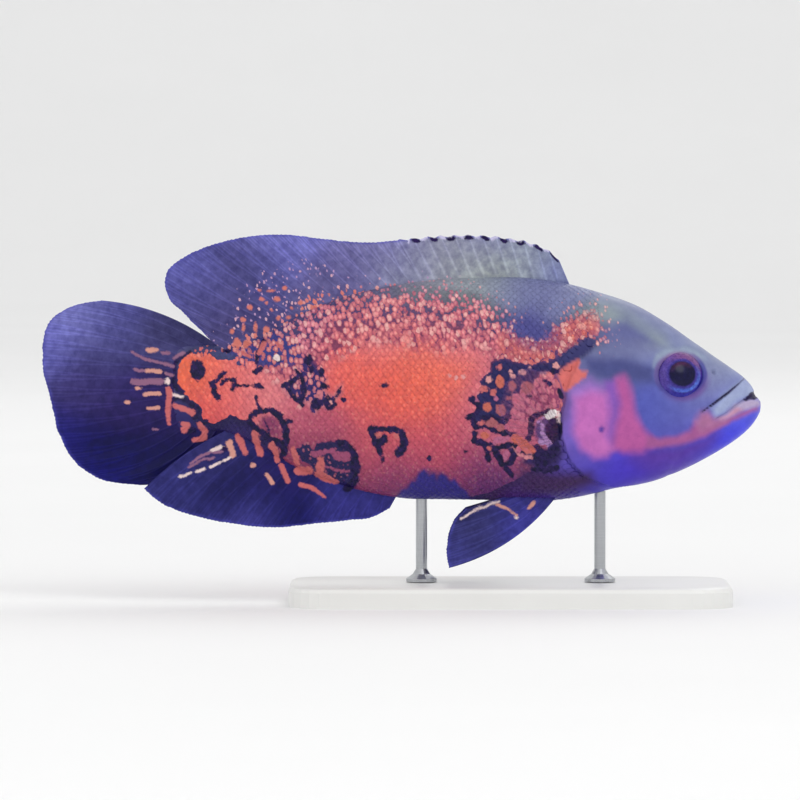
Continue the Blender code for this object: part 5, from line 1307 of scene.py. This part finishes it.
def fish_skin(name, scaly):
    """Wet, finely pored skin with beads and flecks; each bead is painted with a highlight in its middle and
    shade at its edge, some with a glint, and the pale flecks are partly painted glints; on scales also
    darker edges and growth rings.
    """
    material, tree, shader = start_look(name, {"Specular IOR Level": 0.22, "Coat Weight": 0.12,
                                               "Coat Roughness": 0.18, "Coat IOR": 1.4})
    colour = field(tree, "tint")
    height = sums(tree, "MULTIPLY", grains(tree, 2600, 3.0), 0.5)
    orange = field(tree, "grain")
    dapple = sums(tree, "MULTIPLY", ramp(tree, grains(tree, 620, 1.5), 0.50, 0.66), orange)
    colour = laid(tree, colour, rgb("#a03c58"), sums(tree, "MULTIPLY", dapple, 0.35))
    # Pale flecks in the orange: partly the skin's own mottling, partly painted glints of light.
    flecks = sums(tree, "MULTIPLY", ramp(tree, grains(tree, 830, 1.5), 0.56, 0.70), orange)
    colour = laid(tree, colour, rgb("#ffa892"), sums(tree, "MULTIPLY", flecks, 0.40))
    deep, pick, away = strewn_beads(tree)
    loose = ramp(tree, orange, 0.35, 0.9)
    # Each bead is painted as a lit dome: this darkens it towards its edge (painted shade), and the bright
    # middle below is a painted highlight.
    rim = sums(tree, "MULTIPLY", ramp(tree, away, 0.30, 0.58), sums(tree, "MULTIPLY", orange, 0.54))
    colour = laid(tree, colour, rgb("#a23c58"), rim)
    lit_bead_middle = sums(tree, "MULTIPLY", ramp(tree, away, 0.34, 0.10), sums(tree, "MULTIPLY", orange, 0.42))
    colour = laid(tree, colour, rgb("#ffc0b0"), lit_bead_middle)
    dull = sums(tree, "MULTIPLY", ramp(tree, pick, 0.30, 0.05), loose)
    colour = laid(tree, colour, rgb("#a44c68"), sums(tree, "MULTIPLY", dull, 0.6))
    glint = sums(tree, "MULTIPLY", ramp(tree, pick, 0.60, 0.95), ramp(tree, deep, 0.05, 0.3))
    glint = sums(tree, "MULTIPLY", glint, loose)
    colour = laid(tree, colour, rgb("#f4bcb4"), sums(tree, "MULTIPLY", glint, 0.75))
    if scaly:
        edge = field(tree, "edge")
        ragged = sums(tree, "MULTIPLY", sums(tree, "SUBTRACT", grains(tree, 1300, 2.0), 0.5), 0.5)
        line = sums(tree, "SUBTRACT", 1.0, ramp(tree, sums(tree, "ADD", edge, ragged), 0.1, 0.6))
        share = sums(tree, "ADD", sums(tree, "MULTIPLY", orange, 0.07), 0.04)
        line = sums(tree, "MULTIPLY", share, line)
        rings = node(tree, "ShaderNodeMath", {0: sums(tree, "MULTIPLY", edge, 26.0)}, operation="SINE")
        height = sums(tree, "ADD", height, sums(tree, "MULTIPLY", rings.outputs[0], 0.12))
    colour = laid(tree, field(tree, "gap"), colour, ramp(tree, deep, -0.06, 0.06))
    if scaly:
        colour = laid(tree, colour, rgb("#322a5e"), line)
    mottle = ramp(tree, grains(tree, 260, 4.0, 0.6), 0.25, 0.75)
    colour = laid(tree, colour, laid(tree, rgb("#eae8f0"), rgb("#ffffff"), mottle), 1.0, "MULTIPLY")
    freckles = ramp(tree, grains(tree, 1500, 2.0), 0.60, 0.74)
    colour = laid(tree, colour, rgb("#2c2858"), sums(tree, "MULTIPLY", freckles, 0.10))
    colour = marked(tree, colour, 0.5 if scaly else 0.15)
    bump = node(tree, "ShaderNodeBump", {"Height": height, "Strength": 0.3, "Distance": 0.00025})
    rough = ramp(tree, grains(tree, 700, 3.0), 0.2, 0.8)
    rough = sums(tree, "ADD", sums(tree, "MULTIPLY", rough, 0.16), 0.33)
    tree.links.new(colour, shader.inputs["Base Color"])
    tree.links.new(rough, shader.inputs["Roughness"])
    tree.links.new(bump.outputs[0], shader.inputs["Normal"])
    return material


def fin_skin(name, clear):
    """Fin membrane: thin between its rays, with pale rays and fine branching streaks."""
    material, tree, shader = start_look(name, {"Specular IOR Level": 0.14, "Coat Weight": 0.06,
                                               "Coat Roughness": 0.25})
    colour = field(tree, "tint")
    mottle = ramp(tree, grains(tree, 380, 4.0, 0.6), 0.2, 0.8)
    colour = laid(tree, colour, laid(tree, rgb("#bcbace"), rgb("#ffffff"), mottle), 1.0, "MULTIPLY")
    deep, pick, _ = strewn_beads(tree)
    spot = laid(tree, rgb("#b090bc"), rgb("#d87c74"), ramp(tree, field(tree, "bead"), 0.2, 0.42))
    spot = laid(tree, spot, rgb("#e4b4b4"), sums(tree, "MULTIPLY", ramp(tree, pick, 0.6, 0.9), 0.6))
    colour = laid(tree, colour, spot, ramp(tree, deep, -0.06, 0.06))
    colour = marked(tree, colour, 0.4)
    bump = node(tree, "ShaderNodeBump", {"Height": grains(tree, 2400, 3.0), "Strength": 0.25,
                                         "Distance": 0.0002})
    rough = sums(tree, "ADD", sums(tree, "MULTIPLY", grains(tree, 800), 0.2), 0.34)
    tree.links.new(colour, shader.inputs["Base Color"])
    tree.links.new(rough, shader.inputs["Roughness"])
    tree.links.new(bump.outputs[0], shader.inputs["Normal"])
    if clear:
        solid = sums(tree, "ADD", sums(tree, "MULTIPLY", field(tree, "ray"), 0.18), 0.06)
        tree.links.new(solid, shader.inputs["Alpha"])
    return material


def eye_gloss(name):
    """A wet eye: its painted colours under a clear, very smooth coat."""
    material, tree, shader = start_look(name, {"Specular IOR Level": 0.15, "Coat Weight": 0.22,
                                               "Coat Roughness": 0.1, "Coat IOR": 1.4})
    specks = ramp(tree, grains(tree, 900, 4.0, 0.6), 0.3, 0.75)
    colour = laid(tree, field(tree, "tint"), laid(tree, rgb("#bcb8cc"), rgb("#ffffff"), specks), 1.0,
                  "MULTIPLY")
    tree.links.new(colour, shader.inputs["Base Color"])
    tree.links.new(sums(tree, "ADD", sums(tree, "MULTIPLY", specks, 0.1), 0.18), shader.inputs["Roughness"])
    return material


def satin_lacquer(name):
    """White satin lacquer on the base: a faint orange-peel skin and hardly visible cloudiness."""
    material, tree, shader = start_look(name, {"Coat Weight": 0.25, "Coat Roughness": 0.25})
    clouds = grains(tree, 22, 3.0)
    colour = laid(tree, rgb("#e3e3e0"), rgb("#efefec"), clouds)
    bump = node(tree, "ShaderNodeBump", {"Height": grains(tree, 900, 2.0), "Strength": 0.12,
                                         "Distance": 0.0002})
    tree.links.new(colour, shader.inputs["Base Color"])
    tree.links.new(sums(tree, "ADD", sums(tree, "MULTIPLY", grains(tree, 60), 0.12), 0.36),
                   shader.inputs["Roughness"])
    tree.links.new(bump.outputs[0], shader.inputs["Normal"])
    return material


def turned_steel(name):
    """Steel rods with fine turning lines around them."""
    material, tree, shader = start_look(name, {"Metallic": 1.0})
    lines = grains(tree, 900, 2.0, 0.5, (0.03, 0.03, 4.0))
    colour = laid(tree, rgb("#9c9fa3"), rgb("#c9cbce"), lines)
    bump = node(tree, "ShaderNodeBump", {"Height": lines, "Strength": 0.2, "Distance": 0.0001})
    tree.links.new(colour, shader.inputs["Base Color"])
    tree.links.new(sums(tree, "ADD", sums(tree, "MULTIPLY", lines, 0.15), 0.24), shader.inputs["Roughness"])
    tree.links.new(bump.outputs[0], shader.inputs["Normal"])
    return material


def finish_stand():
    lacquer, steel = satin_lacquer("base_satin_lacquer"), turned_steel("rod_turned_steel")
    for name in ("stand_base", "stand_rod_front", "stand_rod_rear"):
        look = lacquer if name == "stand_base" else steel
        for slot in bpy.data.objects[name].material_slots:
            slot.material = look


# ---- studio
VIEW_CENTRE = Vector((-0.0429, 0.0, 0.07915))
VIEW_WIDTH = 0.312
VIEW_DISTANCE = 3.0
VIEW_ELEVATION = 2.0


def make_camera():
    lens = bpy.data.cameras.new("camera")
    lens.sensor_width = 36.0
    lens.lens = 36.0 * VIEW_DISTANCE / VIEW_WIDTH
    lens.clip_end = 60.0
    camera = bpy.data.objects.new("camera", lens)
    bpy.context.scene.collection.objects.link(camera)
    tilt = math.radians(VIEW_ELEVATION)
    way = Vector((0.0, -math.cos(tilt), math.sin(tilt)))
    camera.matrix_world = Matrix.Translation(VIEW_CENTRE + way * VIEW_DISTANCE) @ (
        way.to_track_quat("Z", "Y").to_matrix().to_4x4())
    bpy.context.scene.camera = camera


def make_floor():
    """A round pale floor whose edge rises in an even curve into a wall."""
    turn = np.linspace(0, np.pi / 2, 40)
    reach = np.concatenate([np.linspace(0.05, 4.5, 24), 4.5 + 3.5 * np.sin(turn[1:]), np.full(3, 8.0)])
    level = np.concatenate([np.zeros(24), 3.5 * (1 - np.cos(turn[1:])), [4.0, 4.6, 5.2]])
    a = np.linspace(0, 2 * np.pi, 128, endpoint=False)
    points = np.stack([reach[:, None] * np.cos(a), reach[:, None] * np.sin(a),
                       level[:, None] + 0 * a], axis=-1)
    mesh = bpy.data.meshes.new("studio_floor")
    faces = sheet_faces(len(reach), 128, wrap=True)[:, ::-1].tolist() + [list(range(128))]
    mesh.from_pydata(points.reshape(-1, 3).tolist(), [], faces)
    mesh.shade_smooth()
    floor = bpy.data.objects.new("studio_floor", mesh)
    bpy.context.scene.collection.objects.link(floor)
    material, tree, shader = start_look("floor_pale", {"Roughness": 0.9, "Specular IOR Level": 0.1})
    paper = laid(tree, rgb("#f0f0f0"), rgb("#f4f4f4"), grains(tree, 3.0))
    tree.links.new(paper, shader.inputs["Base Color"])
    mesh.materials.append(material)


def make_light(name, where, size, power, aim=(-0.04, 0.0, 0.08)):
    lamp = bpy.data.lights.new(name, "AREA")
    lamp.shape, lamp.size, lamp.energy = "DISK", size, power
    light = bpy.data.objects.new(name, lamp)
    bpy.context.scene.collection.objects.link(light)
    way = Vector(where) - Vector(aim)
    light.matrix_world = Matrix.Translation(Vector(where)) @ way.to_track_quat("Z", "Y").to_matrix().to_4x4()


def make_studio():
    world = bpy.data.worlds.new("studio")
    world.use_nodes = True
    world.node_tree.nodes["Background"].inputs[0].default_value = (1.0, 1.0, 1.0, 1.0)
    world.node_tree.nodes["Background"].inputs[1].default_value = 0.98
    bpy.context.scene.world = world
    make_floor()
    make_light("key", (0.9, -1.8, 1.6), 1.2, 9)
    make_light("fill", (-1.6, -1.8, 1.0), 1.6, 4)
    make_light("rear", (0.4, 1.9, 1.8), 1.4, 6)
    bpy.context.scene.view_settings.view_transform = "Standard"


make_camera()
make_studio()
skin_look, scale_look = fish_skin("wet_skin", False), fish_skin("scale_skin", True)
fin_look, clear_look = fin_skin("fin_membrane", False), fin_skin("clear_fin_membrane", True)
make_skin(skin_look)
for name, way in (("scales_right", -1), ("scales_left", 1)):
    make_scales(name, way, scale_look)
make_upright_fins(fin_look)
make_paired_fins(fin_look, clear_look)
eye_look = eye_gloss("eye_gloss")
for name, way in (("eyeball_right", -1), ("eyeball_left", 1)):
    make_eye(name, way, eye_look)
finish_stand()
